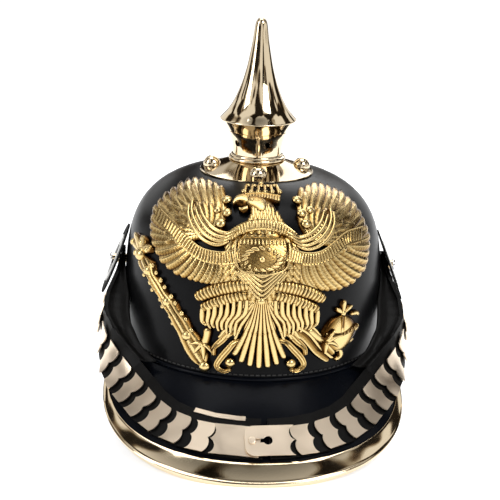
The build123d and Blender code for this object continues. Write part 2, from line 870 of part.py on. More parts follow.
front_side = strap_width / 2
scale_low = -strap_width / 2
scale_top = scale_low + scale_height
middle_across = (scale_low + scale_top) / 2
leather_top = strap_leather / 2
sheet_low = leather_top + seat_gap
sheet_top = sheet_low + scale_sheet


def strip_face(frame, corners):
    """Cross-section of a strip on the strap, from corners across and out of the leather."""
    centre, _, across, out = frame
    return Face(Wire.make_polygon([centre + across * a + out * o for a, o in corners]))


def strip_corners(low, high, bottom, top):
    """Corners of a plain strip between two places across and two heights."""
    return [(low, bottom), (high, bottom), (high, top), (low, top)]


def chord(start, end):
    """Flat plane on the straight run between two distances along the strap."""
    first = strap_place(start)
    last = strap_place(end)
    along = (last[0] - first[0]).normalized()
    out = first[3] + last[3]
    out = (out - along * out.dot(along)).normalized()
    return Plane((first[0] + last[0]) / 2, x_dir=along, z_dir=out)


def plate_level(start, end):
    """Flat plane lying on the leather's highest place between two distances."""
    plane = chord(start, end)
    rise = (strap_place((start + end) / 2)[0] - plane.origin).dot(plane.z_dir)
    return plane.offset(rise + sheet_low)


def between(first, last, share):
    """Strap frame at a share of the way between two frames, or past them."""
    return [a + (b - a) * share for a, b in zip(first, last)]


def lobes(place, side):
    """Two round lobes side by side on a line across the strap, towards the front's middle."""
    with BuildSketch() as shape:
        for first, last in ((scale_low, middle_across), (middle_across, scale_top)):
            with BuildLine():
                crest = (place - side * scale_lobe, (first + last) / 2)
                arc = ThreePointArc((place, first), crest, (place, last))
                Line(arc @ 1, arc @ 0)
            make_face()
    return shape.sketch


# End plates where the halves meet: a keyhole plate hooked over a button on a plain plate

plain_plane = plate_level(-plain_plate_inner, lap_under_reach)
plain_length = plain_plate_inner + lap_under_reach - scale_gap
plain_corner = plain_plane.from_local_coords((plain_length / 2, middle_across, scale_sheet))
keyhole_seat = plate_level(-lap_reach, end_plate_inner)
keyhole_lift = (plain_corner - keyhole_seat.origin).dot(keyhole_seat.z_dir) + seat_gap
keyhole_plane = keyhole_seat.offset(keyhole_lift)
keyhole_length = lap_reach + end_plate_inner - scale_gap
keyhole_middle = (end_plate_inner - lap_reach) / 2
button_spot = (-button_place - keyhole_middle, middle_across)
keyhole_spot = (keyhole_place - keyhole_middle, middle_across)
slot_spot = ((button_spot[0] + keyhole_spot[0]) / 2, middle_across)
rivet_spot = (rivet_place - keyhole_middle, middle_across)
rivet_length = (keyhole_plane.origin - strap_place(rivet_place)[0]).dot(keyhole_plane.z_dir)
button_point = keyhole_plane.from_local_coords((*button_spot, 0))
button_plane = Plane(button_point, x_dir=keyhole_plane.x_dir, z_dir=keyhole_plane.z_dir)
button_drop = (button_point - plain_plane.origin).dot(plain_plane.z_dir) / keyhole_plane.z_dir.dot(
    plain_plane.z_dir
)

with BuildPart() as right_end_plate:
    with BuildSketch(plain_plane):
        with Locations((0, middle_across)):
            Rectangle(plain_length, scale_height)
        add(lobes(-plain_length / 2, -1), mode=Mode.SUBTRACT)
    extrude(amount=scale_sheet)
    with BuildSketch(button_plane):
        Circle(button_neck_radius + seat_gap)
    extrude(amount=-button_drop - overrun, mode=Mode.SUBTRACT)
keep(right_end_plate.part, "right_end_plate")

with BuildPart() as strap_button:
    with BuildSketch(button_plane.offset(-button_drop)):
        Circle(button_neck_radius)
    extrude(amount=button_drop + scale_sheet + seat_gap)
    with BuildSketch(button_plane.offset(scale_sheet + seat_gap)):
        Circle(button_head_radius)
    extrude(amount=button_head_height)
    head_face = strap_button.faces().sort_by(Axis(button_plane.origin, button_plane.z_dir))[-1]
    fillet(head_face.edges(), button_head_height / 2)
keep(strap_button.part, "strap_button")

with BuildPart() as left_end_plate:
    with BuildSketch(keyhole_plane) as keyhole_outline:
        with Locations((0, middle_across)):
            Rectangle(keyhole_length, scale_height)
        fillet(keyhole_outline.vertices().sort_by(Axis.X)[:2], end_plate_corner)
        add(lobes(keyhole_length / 2, 1), mode=Mode.SUBTRACT)
        with Locations(keyhole_spot):
            Circle(keyhole_radius, mode=Mode.SUBTRACT)
        with Locations(slot_spot):
            SlotCenterToCenter(button_place + keyhole_place, keyhole_slot, mode=Mode.SUBTRACT)
    extrude(amount=scale_sheet)
    with BuildSketch(keyhole_plane):
        with Locations(rivet_spot):
            with GridLocations(0, rivet_spread, 1, 2):
                Circle(rivet_radius)
    extrude(amount=-rivet_length)
keep(left_end_plate.part, "left_end_plate")


# Chin strap halves: leather with an eye for the boss, and brass scales with lobed edges

path_end = centre_line.length
plate_reaches = {1: end_plate_inner, -1: plain_plate_inner}
leather_starts = {1: lap_reach, -1: -lap_under_reach}
leather_corners = strip_corners(scale_low, front_side, -leather_top, leather_top)
eye_corners = strip_corners(
    -strap_eye_radius * strap_end_share,
    strap_eye_radius * strap_end_share,
    -leather_top + strap_end_inset,
    leather_top - strap_end_inset,
)
scale_corners = strip_corners(scale_low, scale_top, sheet_low, sheet_top)
lifted_corners = strip_corners(scale_low, scale_top, sheet_low + scale_lift, sheet_top + scale_lift)
strap_frames = {}
for side, side_name in side_names.items():
    inner_reach = plate_reaches[side]
    scale_pitch = (path_end - strap_top_cover - inner_reach) / scale_count
    lobe_share = scale_lobe / scale_pitch
    scale_ends = [inner_reach + scale_pitch * i for i in range(scale_count + 1)]
    stations = [leather_starts[side], (leather_starts[side] + inner_reach) / 2, *scale_ends]
    frames = [strap_place(side * s) for s in [*stations, path_end - seat_gap]]
    strap_frames[side] = frames
    eye_plane = Plane(
        skull_center + (side * (eye.X - leather_top), eye.Y, eye.Z),
        x_dir=(0, side, 0),
        z_dir=(side, 0, 0),
    )
    with BuildPart() as strap:
        for first, last in zip(frames[:-2], frames[1:-1]):
            loft(
                sections=[strip_face(first, leather_corners), strip_face(last, leather_corners)],
                ruled=True,
            )
        loft(
            sections=[strip_face(frames[-2], leather_corners), strip_face(frames[-1], eye_corners)],
            ruled=True,
        )
        with BuildSketch(eye_plane):
            Circle(strap_eye_radius)
        extrude(amount=strap_leather)
        with BuildSketch(eye_plane.offset(-overrun)):
            Circle(bush_radius + running_gap)
        extrude(amount=strap_leather + 2 * overrun, mode=Mode.SUBTRACT)
        if side > 0:
            with BuildSketch(keyhole_plane):
                with Locations(rivet_spot):
                    with GridLocations(0, rivet_spread, 1, 2):
                        Circle(rivet_radius + seat_gap)
            extrude(amount=-rivet_length - overrun, mode=Mode.SUBTRACT)
    keep(strap.part, side_name + "_strap")

    for i, (first, last) in enumerate(zip(frames[2:-2], frames[3:-1])):
        lobed_end = -side * (scale_pitch - scale_gap) / 2
        sides = sorted((side * scale_ends[i], side * scale_ends[i + 1]))
        with BuildPart() as scale_plate:
            loft(
                sections=[
                    strip_face(between(first, last, -lobe_share), lifted_corners),
                    strip_face(last, scale_corners),
                ],
                ruled=True,
            )
            with BuildSketch(chord(*sides)):
                with Locations((0, middle_across)):
                    Rectangle(scale_pitch - scale_gap, scale_height + 2 * overrun)
                add(lobes(lobed_end, side))
                add(lobes(-lobed_end, side), mode=Mode.SUBTRACT)
            extrude(amount=scale_height, both=True, mode=Mode.INTERSECT)
        keep(scale_plate.part, "%s_scale_%02d" % (side_name, i + 1))


# Folded brass strip over the right leather's upper edge, behind the plain end plate

clip_low = front_side - clip_leg
clip_inside = front_side + seat_gap
clip_outside = clip_inside + clip_sheet
clip_corners = [
    (clip_inside, -leather_top),
    (clip_outside, -leather_top),
    (clip_outside, sheet_low + clip_sheet),
    (clip_low, sheet_low + clip_sheet),
    (clip_low, sheet_low),
    (clip_inside, sheet_low),
]
clip_frames = strap_frames[-1][:4]
clip_share = (clip_start + lap_under_reach) * 2 / (plain_plate_inner + lap_under_reach)
clip_frames[0] = between(clip_frames[0], clip_frames[1], clip_share)
with BuildPart() as right_edge_clip:
    for first, last in zip(clip_frames, clip_frames[1:]):
        loft(
            sections=[strip_face(first, clip_corners), strip_face(last, clip_corners)],
            ruled=True,
        )
keep(right_edge_clip.part, "right_edge_clip")


# Lining: a leather sweatband inside the edge, and a liner of tongues standing on it

band_outer_x = flange_outer_x - flange_wall - seat_gap
band_outer_y = flange_outer_y - flange_wall - seat_gap
with BuildPart() as sweatband:
    with BuildSketch(skull_plan):
        Ellipse(band_outer_x, band_outer_y)
        Ellipse(band_outer_x - band_wall, band_outer_y - band_wall, mode=Mode.SUBTRACT)
    extrude(amount=band_height)
keep(sweatband.part, "sweatband")

liner_shares = (
    (1, 0), (0.963, 0.127), (0.942, 0.211), (0.87, 0.484), (0.77, 0.696), (0.603, 0.871),
    (0.447, 0.954), (0.29, 1),
)
liner_foot = band_height + seat_gap
liner_points = [(band_outer_x * r, liner_foot + liner_rise * h) for r, h in liner_shares]
liner_back = [(r - liner_wall, h - liner_wall) for r, h in liner_points[1:]]
with BuildPart() as liner_body:
    with BuildSketch(skull_profile):
        with BuildLine():
            liner_inner_foot = (band_outer_x - liner_wall, liner_foot)
            Polyline(*liner_points, *reversed(liner_back), liner_inner_foot, close=True)
        make_face()
    revolve(axis=skull_axis)
    with BuildSketch(skull_plan.offset(band_height + liner_slot_foot)):
        with PolarLocations(band_outer_x / 2, liner_slots):
            Rectangle(band_outer_x, liner_slot_width)
    extrude(amount=skull_height, mode=Mode.SUBTRACT)
liner = scale(liner_body.part, by=(1, band_outer_y / band_outer_x, 1), about=skull_center)
keep(liner, "liner")
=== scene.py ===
"""Looks of a spiked leather helmet with an eagle plate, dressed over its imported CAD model."""

import json
import math

import bmesh
import bpy
from mathutils import Matrix, Vector


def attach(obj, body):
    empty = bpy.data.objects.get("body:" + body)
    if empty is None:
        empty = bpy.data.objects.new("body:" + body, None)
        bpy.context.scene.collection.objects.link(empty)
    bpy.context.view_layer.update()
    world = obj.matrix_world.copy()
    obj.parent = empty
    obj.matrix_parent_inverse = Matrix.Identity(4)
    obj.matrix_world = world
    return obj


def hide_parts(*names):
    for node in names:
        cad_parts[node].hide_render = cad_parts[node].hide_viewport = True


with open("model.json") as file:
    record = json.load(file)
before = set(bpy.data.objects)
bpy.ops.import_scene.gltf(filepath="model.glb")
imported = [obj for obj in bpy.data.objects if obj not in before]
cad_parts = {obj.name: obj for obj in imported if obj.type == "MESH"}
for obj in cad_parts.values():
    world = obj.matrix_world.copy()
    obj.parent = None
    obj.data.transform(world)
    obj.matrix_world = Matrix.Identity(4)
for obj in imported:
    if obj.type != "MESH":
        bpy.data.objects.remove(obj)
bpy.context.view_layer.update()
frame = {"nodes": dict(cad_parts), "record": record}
nodes = frame["nodes"]
scene = bpy.context.scene

# The helmet's own sizes, in millimetres, from the skull's lower edge unless said otherwise
mm = 0.001
brim_height = 54.667
skull_y = 6.828
skull_half_width = 95.0
skull_half_length = 110.0
skull_height = 125.6
skull_wall = 3.0
crown_power = 5.05
side_power = 2.68
least_depth_share = 0.0004
flare_depth = 60.0
front_edge_drop = 52.4
front_flare = (146.9, 84.1, -92.9)
rear_flare = (128.0, 83.0, 80.0)
front_reach = front_flare[1] - front_flare[2] - skull_half_length
rear_reach = rear_flare[1] + rear_flare[2] - skull_half_length
peak_reach = skull_half_length + front_reach * front_edge_drop / flare_depth
front_slope = front_edge_drop / peak_reach
rear_slope = brim_height / (skull_half_length + rear_reach * brim_height / flare_depth)
skull_place = Vector((0, skull_y, brim_height)) * mm
to_row_frame = Matrix.Translation(skull_place) @ Matrix.Scale(mm, 4)


# Shared shapes. They are made in millimetres from the skull's lower edge


def dome_share(height_share):
    """Radius of the skull's dome at a height, as a share of its radius at the brim."""
    return (1 - min(height_share, 1.0) ** crown_power) ** (1 / side_power)


def dome_front(x, height):
    """Point on the front of the dome, and the way out of it."""
    share = dome_share(height / skull_height)
    depth = max(share**2 - (x / skull_half_width) ** 2, least_depth_share)
    y = -skull_half_length * math.sqrt(depth)
    radial = side_power * share ** (side_power - 2)
    out = Vector(
        (
            radial * x / skull_half_width**2,
            radial * y / skull_half_length**2,
            crown_power * height ** (crown_power - 1) / skull_height**crown_power,
        )
    )
    return Vector((x, y, height)), out.normalized()


def smooth_line(points, steps=6):
    """A smooth line through points, with a number of steps between each two."""
    points = [Vector(p) for p in points]
    line = []
    for i in range(len(points) - 1):
        before = points[max(i - 1, 0)]
        start, end = points[i], points[i + 1]
        after = points[min(i + 2, len(points) - 1)]
        for k in range(steps):
            t = k / steps
            pull = (end - before) * 0.5
            push = (after - start) * 0.5
            line.append(
                start * (2 * t**3 - 3 * t**2 + 1)
                + pull * (t**3 - 2 * t**2 + t)
                + end * (3 * t**2 - 2 * t**3)
                + push * (t**3 - t**2)
            )
    return line + [points[-1]]


def spun(profile, steps=144, stretch=1.0, closed=False):
    """A turned shape: a profile of radius and height spun round the helmet's axis."""
    bm = bmesh.new()
    verts = [bm.verts.new((r, 0, z)) for r, z in profile]
    pairs = list(zip(verts, verts[1:]))
    if closed:
        pairs.append((verts[-1], verts[0]))
    edges = [bm.edges.new(p) for p in pairs]
    bmesh.ops.spin(
        bm,
        geom=verts + edges,
        cent=(0, 0, 0),
        axis=(0, 0, 1),
        angle=math.tau,
        steps=steps,
        use_merge=True,
    )
    bmesh.ops.remove_doubles(bm, verts=bm.verts, dist=0.002)
    bmesh.ops.recalc_face_normals(bm, faces=bm.faces)
    bmesh.ops.scale(bm, vec=(1, stretch, 1), verts=bm.verts)
    return bm


def swept(frames, section):
    """A closed section drawn at the first frame and extruded from frame to frame."""
    bm = bmesh.new()
    verts = [bm.verts.new(frames[0] @ Vector((a, b, 0))) for a, b in section]
    edges = [bm.edges.new(p) for p in zip(verts, verts[1:] + verts[:1])]
    bm.faces.new(verts)
    for near, far in zip(frames, frames[1:]):
        grown = bmesh.ops.extrude_edge_only(bm, edges=edges)["geom"]
        verts = [g for g in grown if isinstance(g, bmesh.types.BMVert)]
        there = set(verts)
        edges = [g for g in grown if isinstance(g, bmesh.types.BMEdge) and there.issuperset(g.verts)]
        bmesh.ops.transform(bm, matrix=far @ near.inverted(), verts=verts)
    bmesh.ops.contextual_create(bm, geom=edges)
    bmesh.ops.recalc_face_normals(bm, faces=bm.faces)
    return bm


def axes_frame(place, across, out, along):
    """Matrix whose X, Y and Z are given ways, at a place."""
    frame_matrix = Matrix((across, out, along)).transposed().to_4x4()
    frame_matrix.translation = place
    return frame_matrix


def join(bm, part):
    """Adds one shape to another."""
    mesh = bpy.data.meshes.new("part")
    part.to_mesh(mesh)
    part.free()
    bm.from_mesh(mesh)
    bpy.data.meshes.remove(mesh)


def add_piece(name, bm, material, body, stands_for=(), sharp=35):
    """Makes a finished object of a shape in millimetres and lets it ride on its body."""
    bmesh.ops.transform(bm, matrix=to_row_frame, verts=bm.verts)
    mesh = bpy.data.meshes.new(name)
    bm.to_mesh(mesh)
    bm.free()
    mesh.shade_smooth()
    mesh.set_sharp_from_angle(angle=math.radians(sharp))
    mesh.materials.append(material)
    piece = bpy.data.objects.new(name, mesh)
    scene.collection.objects.link(piece)
    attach(piece, body)
    if stands_for:
        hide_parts(*stands_for)
    return piece


def add_brass(name, bm, node, body="helmet", sharp=60, finish=None):
    """A piece of polished brass that stands for a CAD node."""
    add_piece(name, bm, finish or pale_brass, body, [node], sharp)


def cad_copy(node, bevel):
    """A CAD node's solid with merged corners and softened edges."""
    bm = bmesh.new()
    bm.from_mesh(nodes[node].data)
    bmesh.ops.transform(bm, matrix=to_row_frame.inverted(), verts=bm.verts)
    bmesh.ops.remove_doubles(bm, verts=bm.verts, dist=0.004)
    bmesh.ops.dissolve_limit(bm, angle_limit=math.radians(1.0), verts=bm.verts, edges=bm.edges)
    softened = math.radians(30)
    bmesh.ops.bevel(
        bm,
        geom=[e for e in bm.edges if e.is_manifold and e.calc_face_angle(0) > softened],
        offset=bevel,
        offset_type="OFFSET",
        segments=2,
        profile=0.5,
        affect="EDGES",
        material=-1,
        clamp_overlap=True,
    )
    return bm


# Materials

# Vertex layer of painted light on the eagle: a painted highlight on its heights, painted shade in its
# recesses and along its edges
painted_light_layer = "relief"
dent_depth = 0.0004
grain_depth = 0.0003
scratch_fineness = 7.0
wrinkle_coarseness = 0.12


def node_group(name, inputs, outputs):
    """An empty shader node group with named inputs and outputs."""
    group = bpy.data.node_groups.new(name, "ShaderNodeTree")
    for label, value in inputs.items():
        socket = group.interface.new_socket(
            name=label, in_out="INPUT", socket_type="NodeSocketFloat"
        )
        socket.default_value = value
    for label in outputs:
        group.interface.new_socket(name=label, in_out="OUTPUT", socket_type="NodeSocketFloat")
    return group, group.nodes.new("NodeGroupInput"), group.nodes.new("NodeGroupOutput")


def place_node(tree, kind, **values):
    """A node with its settings and its sockets' plain values."""
    node = tree.nodes.new(kind)
    for key, value in values.items():
        label = key.replace("_", " ")
        if label in node.inputs:
            node.inputs[label].default_value = value
        else:
            setattr(node, key, value)
    return node


def place_math(tree, operation, *values):
    """A sum node with plain values in its sockets after the first."""
    node = place_node(tree, "ShaderNodeMath", operation=operation)
    for i, value in enumerate(values):
        node.inputs[i + 1].default_value = value
    return node


def place_ramp(tree, *stops):
    """A colour ramp with three stops or more, each a position and a colour."""
    node = place_node(tree, "ShaderNodeValToRGB")
    elements = node.color_ramp.elements
    for element, (position, color) in zip(elements, (stops[0], stops[-1])):
        element.position = position
        element.color = color
    for position, color in stops[1:-1]:
        elements.new(position).color = color
    return node


def wire(tree, *links):
    """Joins an output of one node to an input of another, for each link given."""
    for giver, given, taker, taken in links:
        tree.links.new(giver.outputs[given], taker.inputs[taken])


def make_smudges():
    """Uneven polish of handled metal: a roughness that changes softly, with fine scratches."""
    group, start, end = node_group(
        "polish_smudges", {"Low": 0.05, "High": 0.15, "Size": 60.0}, ["Roughness", "Height"]
    )
    where = place_node(group, "ShaderNodeTexCoord")
    cloud = place_node(group, "ShaderNodeTexNoise", Detail=6.0, Roughness=0.6)
    fine = place_node(group, "ShaderNodeTexNoise", Detail=2.0, Roughness=0.5)
    grow = place_math(group, "MULTIPLY", scratch_fineness)
    spread = place_node(group, "ShaderNodeMapRange", From_Min=0.35, From_Max=0.7)
    wire(
        group,
        (where, "Object", cloud, "Vector"),
        (where, "Object", fine, "Vector"),
        (start, "Size", cloud, "Scale"),
        (start, "Size", grow, 0),
        (grow, 0, fine, "Scale"),
        (cloud, "Fac", spread, "Value"),
        (start, "Low", spread, "To Min"),
        (start, "High", spread, "To Max"),
        (spread, "Result", end, "Roughness"),
        (fine, "Fac", end, "Height"),
    )
    return group


def make_grain():
    """Leather grain: small soft cells with wrinkles between them."""
    group, start, end = node_group(
        "leather_grain", {"Size": 700.0, "Wrinkles": 0.4}, ["Height", "Mask"]
    )
    where = place_node(group, "ShaderNodeTexCoord")
    cells = place_node(group, "ShaderNodeTexVoronoi", feature="SMOOTH_F1")
    folds = place_node(group, "ShaderNodeTexNoise", Detail=5.0, Roughness=0.65)
    slow = place_math(group, "MULTIPLY", wrinkle_coarseness)
    weigh = place_math(group, "MULTIPLY")
    both = place_math(group, "ADD")
    wire(
        group,
        (where, "Object", cells, "Vector"),
        (where, "Object", folds, "Vector"),
        (start, "Size", cells, "Scale"),
        (start, "Size", slow, 0),
        (slow, 0, folds, "Scale"),
        (folds, "Fac", weigh, 0),
        (start, "Wrinkles", weigh, 1),
        (cells, "Distance", both, 0),
        (weigh, 0, both, 1),
        (both, 0, end, "Height"),
        (folds, "Fac", end, "Mask"),
    )
    return group


smudges = make_smudges()
grain = make_grain()


def principled(name, **values):
    """A material with its Principled shader set to plain values."""
    material = bpy.data.materials.new(name)
    material.use_nodes = True
    shader = material.node_tree.nodes["Principled BSDF"]
    for key, value in values.items():
        shader.inputs[key.replace("_", " ")].default_value = value
    return material, material.node_tree, shader


def add_smudges(tree, shader, low, high, size, bump):
    """Gives a metal its uneven polish, between two roughnesses, and faint dents."""
    group = place_node(
        tree, "ShaderNodeGroup", node_tree=smudges, Low=low, High=high, Size=size
    )
    dents = place_node(tree, "ShaderNodeBump", Strength=bump, Distance=dent_depth)
    wire(
        tree,
        (group, "Roughness", shader, "Roughness"),
        (group, "Height", dents, "Height"),
        (dents, "Normal", shader, "Normal"),
    )


def polished_metal(name, color, low, high, size=60.0, bump=0.02):
    """Mirror-polished metal with soft smudges."""
    material, tree, shader = principled(name, Base_Color=(*color, 1), Metallic=1.0)
    add_smudges(tree, shader, low, high, size, bump)
    return material


def stamped_gilt():
    """Gilt stamping: a painted highlight on its heights and deep brown painted shade in its recesses."""
    material, tree, shader = principled("stamped_gilt", Metallic=1.0)
    height = place_node(tree, "ShaderNodeAttribute", attribute_name=painted_light_layer)
    # The ramp paints the painted light layer into the colour: deep brown painted shade, then brown, then a
    # bright painted highlight
    ramp = place_ramp(
        tree,
        (0.28, (0.07, 0.03, 0.006, 1)),
        (0.52, (0.36, 0.22, 0.064, 1)),
        (0.78, (0.68, 0.505, 0.225, 1)),
    )
    wire(tree, (height, "Fac", ramp, "Fac"), (ramp, "Color", shader, "Base Color"))
    add_smudges(tree, shader, low=0.16, high=0.3, size=130.0, bump=0.35)
    return material


def leather(name, color, worn, roughness, size, wrinkles, bump, coat=0.0, level=0.5):
    """Leather, paint or thread with grain, a little uneven in colour."""
    material, tree, shader = principled(
        name, Roughness=roughness, Specular_IOR_Level=level, Coat_Weight=coat, Coat_Roughness=0.1
    )
    group = place_node(tree, "ShaderNodeGroup", node_tree=grain, Size=size, Wrinkles=wrinkles)
    tint = place_node(tree, "ShaderNodeMix", data_type="RGBA", A=(*color, 1), B=(*worn, 1))
    relief = place_node(tree, "ShaderNodeBump", Strength=bump, Distance=grain_depth)
    wire(
        tree,
        (group, "Mask", tint, "Factor"),
        (tint, "Result", shader, "Base Color"),
        (group, "Height", relief, "Height"),
        (relief, "Normal", shader, "Normal"),
    )
    return material


pale_brass = polished_metal("pale_brass", (0.74, 0.61, 0.42), low=0.04, high=0.12)
plate_brass = polished_metal(
    "scale_brass", (0.81, 0.68, 0.53), low=0.28, high=0.36, size=70.0, bump=0.03
)
# The base plate's brass is a darker copy of the pale brass: painted shade standing in for the dark
# surroundings the plate reflects
shaded_base_brass = polished_metal("shaded_base_plate_brass", (0.47, 0.37, 0.23), low=0.05, high=0.14)
gilt = stamped_gilt()
bright_steel = polished_metal("bright_steel", (0.66, 0.66, 0.67), low=0.15, high=0.3)
shell_leather = leather(
    "shell_leather", (0.0018, 0.0018, 0.002), (0.004, 0.004, 0.0045),
    roughness=0.3, size=900.0, wrinkles=0.5, bump=0.08, coat=0.02, level=0.06,
)
peak_leather = leather(
    "peak_leather", (0.0016, 0.002, 0.0035), (0.003, 0.004, 0.0065),
    roughness=0.24, size=900.0, wrinkles=0.4, bump=0.05, coat=0.02, level=0.055,
)
strap_leather = leather(
    "strap_leather", (0.002, 0.0019, 0.0019), (0.006, 0.0055, 0.005),
    roughness=0.4, size=1100.0, wrinkles=0.6, bump=0.25, coat=0.01, level=0.08,
)
lining_leather = leather(
    "lining_leather", (0.33, 0.19, 0.1), (0.46, 0.29, 0.16),
    roughness=0.6, size=800.0, wrinkles=0.8, bump=0.3,
)
black_paint = leather(
    "black_paint", (0.006, 0.006, 0.006), (0.012, 0.012, 0.012),
    roughness=0.75, size=300.0, wrinkles=0.5, bump=0.05, level=0.05,
)
white_paint = leather(
    "white_paint", (0.72, 0.71, 0.68), (0.8, 0.79, 0.76),
    roughness=0.5, size=300.0, wrinkles=0.5, bump=0.05,
)
waxed_thread = leather(
    "waxed_thread", (0.008, 0.0075, 0.007), (0.02, 0.019, 0.018),
    roughness=0.55, size=2500.0, wrinkles=0.4, bump=0.4,
)


# Skull: a leather dome with its wall

dome_steps = 26
dome_spacing = 0.75


def dome_line(grow):
    """Profile of the dome from its edge to its top, grown outwards."""
    line = []
    for i in range(dome_steps + 1):
        share = math.sin(math.pi / 2 * i / dome_steps) ** dome_spacing
        line.append(((skull_half_width + grow) * dome_share(share), (skull_height + grow) * share))
    return line


skull = spun(
    dome_line(0) + list(reversed(dome_line(-skull_wall))),
    stretch=skull_half_length / skull_half_width,
    closed=True,
)
add_piece("leather_skull", skull, shell_leather, "helmet", ["skull_shell"], 50)


# Peaks: leather skirts between the brim's ellipse and a wider one, cut by the rim's slope

peak_gap = 2.0
peak_edge_round = 1.0
front_peak_wall = 4.0
rear_peak_wall = 2.6
rear_peak_rise = 1.1


def cut_away(bm, place, way):
    """Cuts off what lies past a plane."""
    bmesh.ops.bisect_plane(
        bm,
        geom=bm.verts[:] + bm.edges[:] + bm.faces[:],
        plane_co=place,
        plane_no=way,
        clear_outer=True,
    )


def peak(flare, slope, side, rise):
    """A peak's sheet on one side of the helmet, cut along its rim."""
    half_width, half_length, shift = flare
    bm = bmesh.new()
    upper = bmesh.ops.create_circle(bm, segments=192, radius=1.0)["verts"]
    bmesh.ops.scale(bm, vec=(skull_half_width, skull_half_length, 1), verts=upper)
    lower = bmesh.ops.create_circle(bm, segments=192, radius=1.0)["verts"]
    bmesh.ops.scale(bm, vec=(half_width, half_length, 1), verts=lower)
    bmesh.ops.translate(bm, vec=(0, shift, -flare_depth), verts=lower)
    bmesh.ops.bridge_loops(bm, edges=bm.edges)
    cut_away(bm, (0, 0, rise), (0, -slope * side, -1))
    cut_away(bm, (0, side * peak_gap, 0), (0, -side, 0))
    bmesh.ops.recalc_face_normals(bm, faces=bm.faces)
    level = Vector((1, 1, 0))
    if sum(f.normal.dot(f.calc_center_median() * level) for f in bm.faces) < 0:
        bmesh.ops.reverse_faces(bm, faces=bm.faces)
    return bm


for name, sheet, thickness in (
    ("front_peak", peak(front_flare, front_slope, -1, 0.0), front_peak_wall),
    ("rear_peak", peak(rear_flare, rear_slope, 1, rear_peak_rise), rear_peak_wall),
):
    piece = add_piece("leather_" + name, sheet, peak_leather, "helmet", [name])
    wall = piece.modifiers.new("wall", "SOLIDIFY")
    wall.thickness = thickness * mm
    wall.offset = -1
    wall.use_even_offset = True
    edge = piece.modifiers.new("rounded_edge", "BEVEL")
    edge.width = peak_edge_round * mm
    edge.segments = 3
    edge.limit_method = "ANGLE"
    edge.angle_limit = math.radians(40)


# Brass edge of the front peak, swept along the rim

trim_face = 15.9
trim_end_rise = 1.9
trim_narrowing = 0.45
trim_reach = 84.6
trim_steps = 160
flare_slant = math.hypot(front_reach, flare_depth)
trim_run = trim_face * front_reach / flare_slant
trim_top = trim_face * (flare_depth - front_slope * front_reach) / flare_slant
trim_slope = front_slope - (trim_top - trim_end_rise) / (peak_reach - trim_run)
trim_section = [
    (15.9, 0.15), (15.95, 0.5), (15.75, 0.85), (15.2, 1.0), (13.0, 1.12), (8.0, 1.22), (3.0, 1.12),
    (0.8, 1.0), (0.0, 1.25), (-0.7, 1.15), (-1.15, 0.6), (-1.2, 0.0), (-1.2, -4.0), (-1.0, -4.9),
    (-0.3, -5.3), (4.8, -5.3), (5.0, -4.9), (4.8, -4.5), (0.1, -4.5), (0.0, 0.1),
]


def rim_point(angle, slope, rise):
    """Where the line down the front peak, at an angle from dead ahead, meets a falling plane."""
    x, y = math.sin(math.radians(angle)), -math.cos(math.radians(angle))
    top = Vector((skull_half_width * x, skull_half_length * y, 0))
    foot = Vector((front_flare[0] * x, front_flare[1] * y + front_flare[2], -flare_depth))
    way = foot - top
    return top + way * ((slope * top.y + rise) / (way.z - slope * way.y))


def rim_frame(angle):
    """Frame on the rim: X up the peak as wide as the band, Y out of it, Z along it."""
    here = rim_point(angle, front_slope, 0)
    ahead = rim_point(angle + 0.5, front_slope, 0)
    behind = rim_point(angle - 0.5, front_slope, 0)
    along = (ahead - behind).normalized()
    up = rim_point(angle, trim_slope, trim_end_rise) - here
    out = along.cross(up).normalized()
    if out.dot(Vector((here.x, here.y, 0))) < 0:
        out = -out
    narrow = 1 - trim_narrowing * math.sin(math.radians(angle)) ** 2
    return axes_frame(here, up / trim_face * narrow, out, along)


rim_angles = [trim_reach * (2 * i / trim_steps - 1) for i in range(trim_steps + 1)]
trim = swept([rim_frame(a) for a in rim_angles], trim_section)
add_brass("brass_rim_band", trim, "front_trim", sharp=50)


# Spike, neck, moulded ring and base plate: turned brass

spike_profile = [
    (21.9, 153.2), (23.2, 155.4), (25.0, 158.2), (27.2, 160.9), (27.75, 161.5), (27.8, 162.0),
    (27.4, 162.6), (25.6, 164.6), (23.1, 167.4), (20.7, 170.9), (17.4, 176.8), (14.9, 182.7),
    (12.7, 188.6), (11.0, 194.4), (9.5, 200.2), (8.3, 206.1), (7.2, 211.9), (6.2, 217.7),
    (5.4, 223.4), (4.6, 229.2), (3.8, 232.6), (2.4, 234.6), (0.9, 235.25), (0.0, 235.3),
]
spike_inside = [
    (20.8, 153.2), (23.9, 158.2), (25.6, 161.6), (24.0, 164.6), (19.5, 170.9), (11.5, 188.0),
    (0.0, 210.0),
]
spike_line = [(p.x, p.y) for p in smooth_line(spike_profile, 3)]
add_brass("brass_spike", spun(spike_line[::-1] + spike_inside), "spike", "spike_body")

disc_profile = [
    (15.0, 131.0), (15.0, 131.9), (20.2, 131.9), (20.9, 131.6), (40.4, 124.35), (41.2, 124.3),
    (41.6, 123.9), (41.5, 123.3), (40.9, 123.0), (20.2, 131.0),
]
disc = spun(disc_profile, closed=True)
add_brass("brass_base_plate", disc, "base_plate", sharp=25, finish=shaded_base_brass)

ring_profile = [
    (18.5, 132.0), (20.2, 132.0), (20.9, 132.8), (20.9, 133.8), (20.2, 134.6), (19.3, 134.9),
    (19.3, 135.6), (18.8, 136.3), (18.5, 136.4),
]
add_brass("brass_neck_ring", spun(ring_profile, closed=True), "neck_ring")

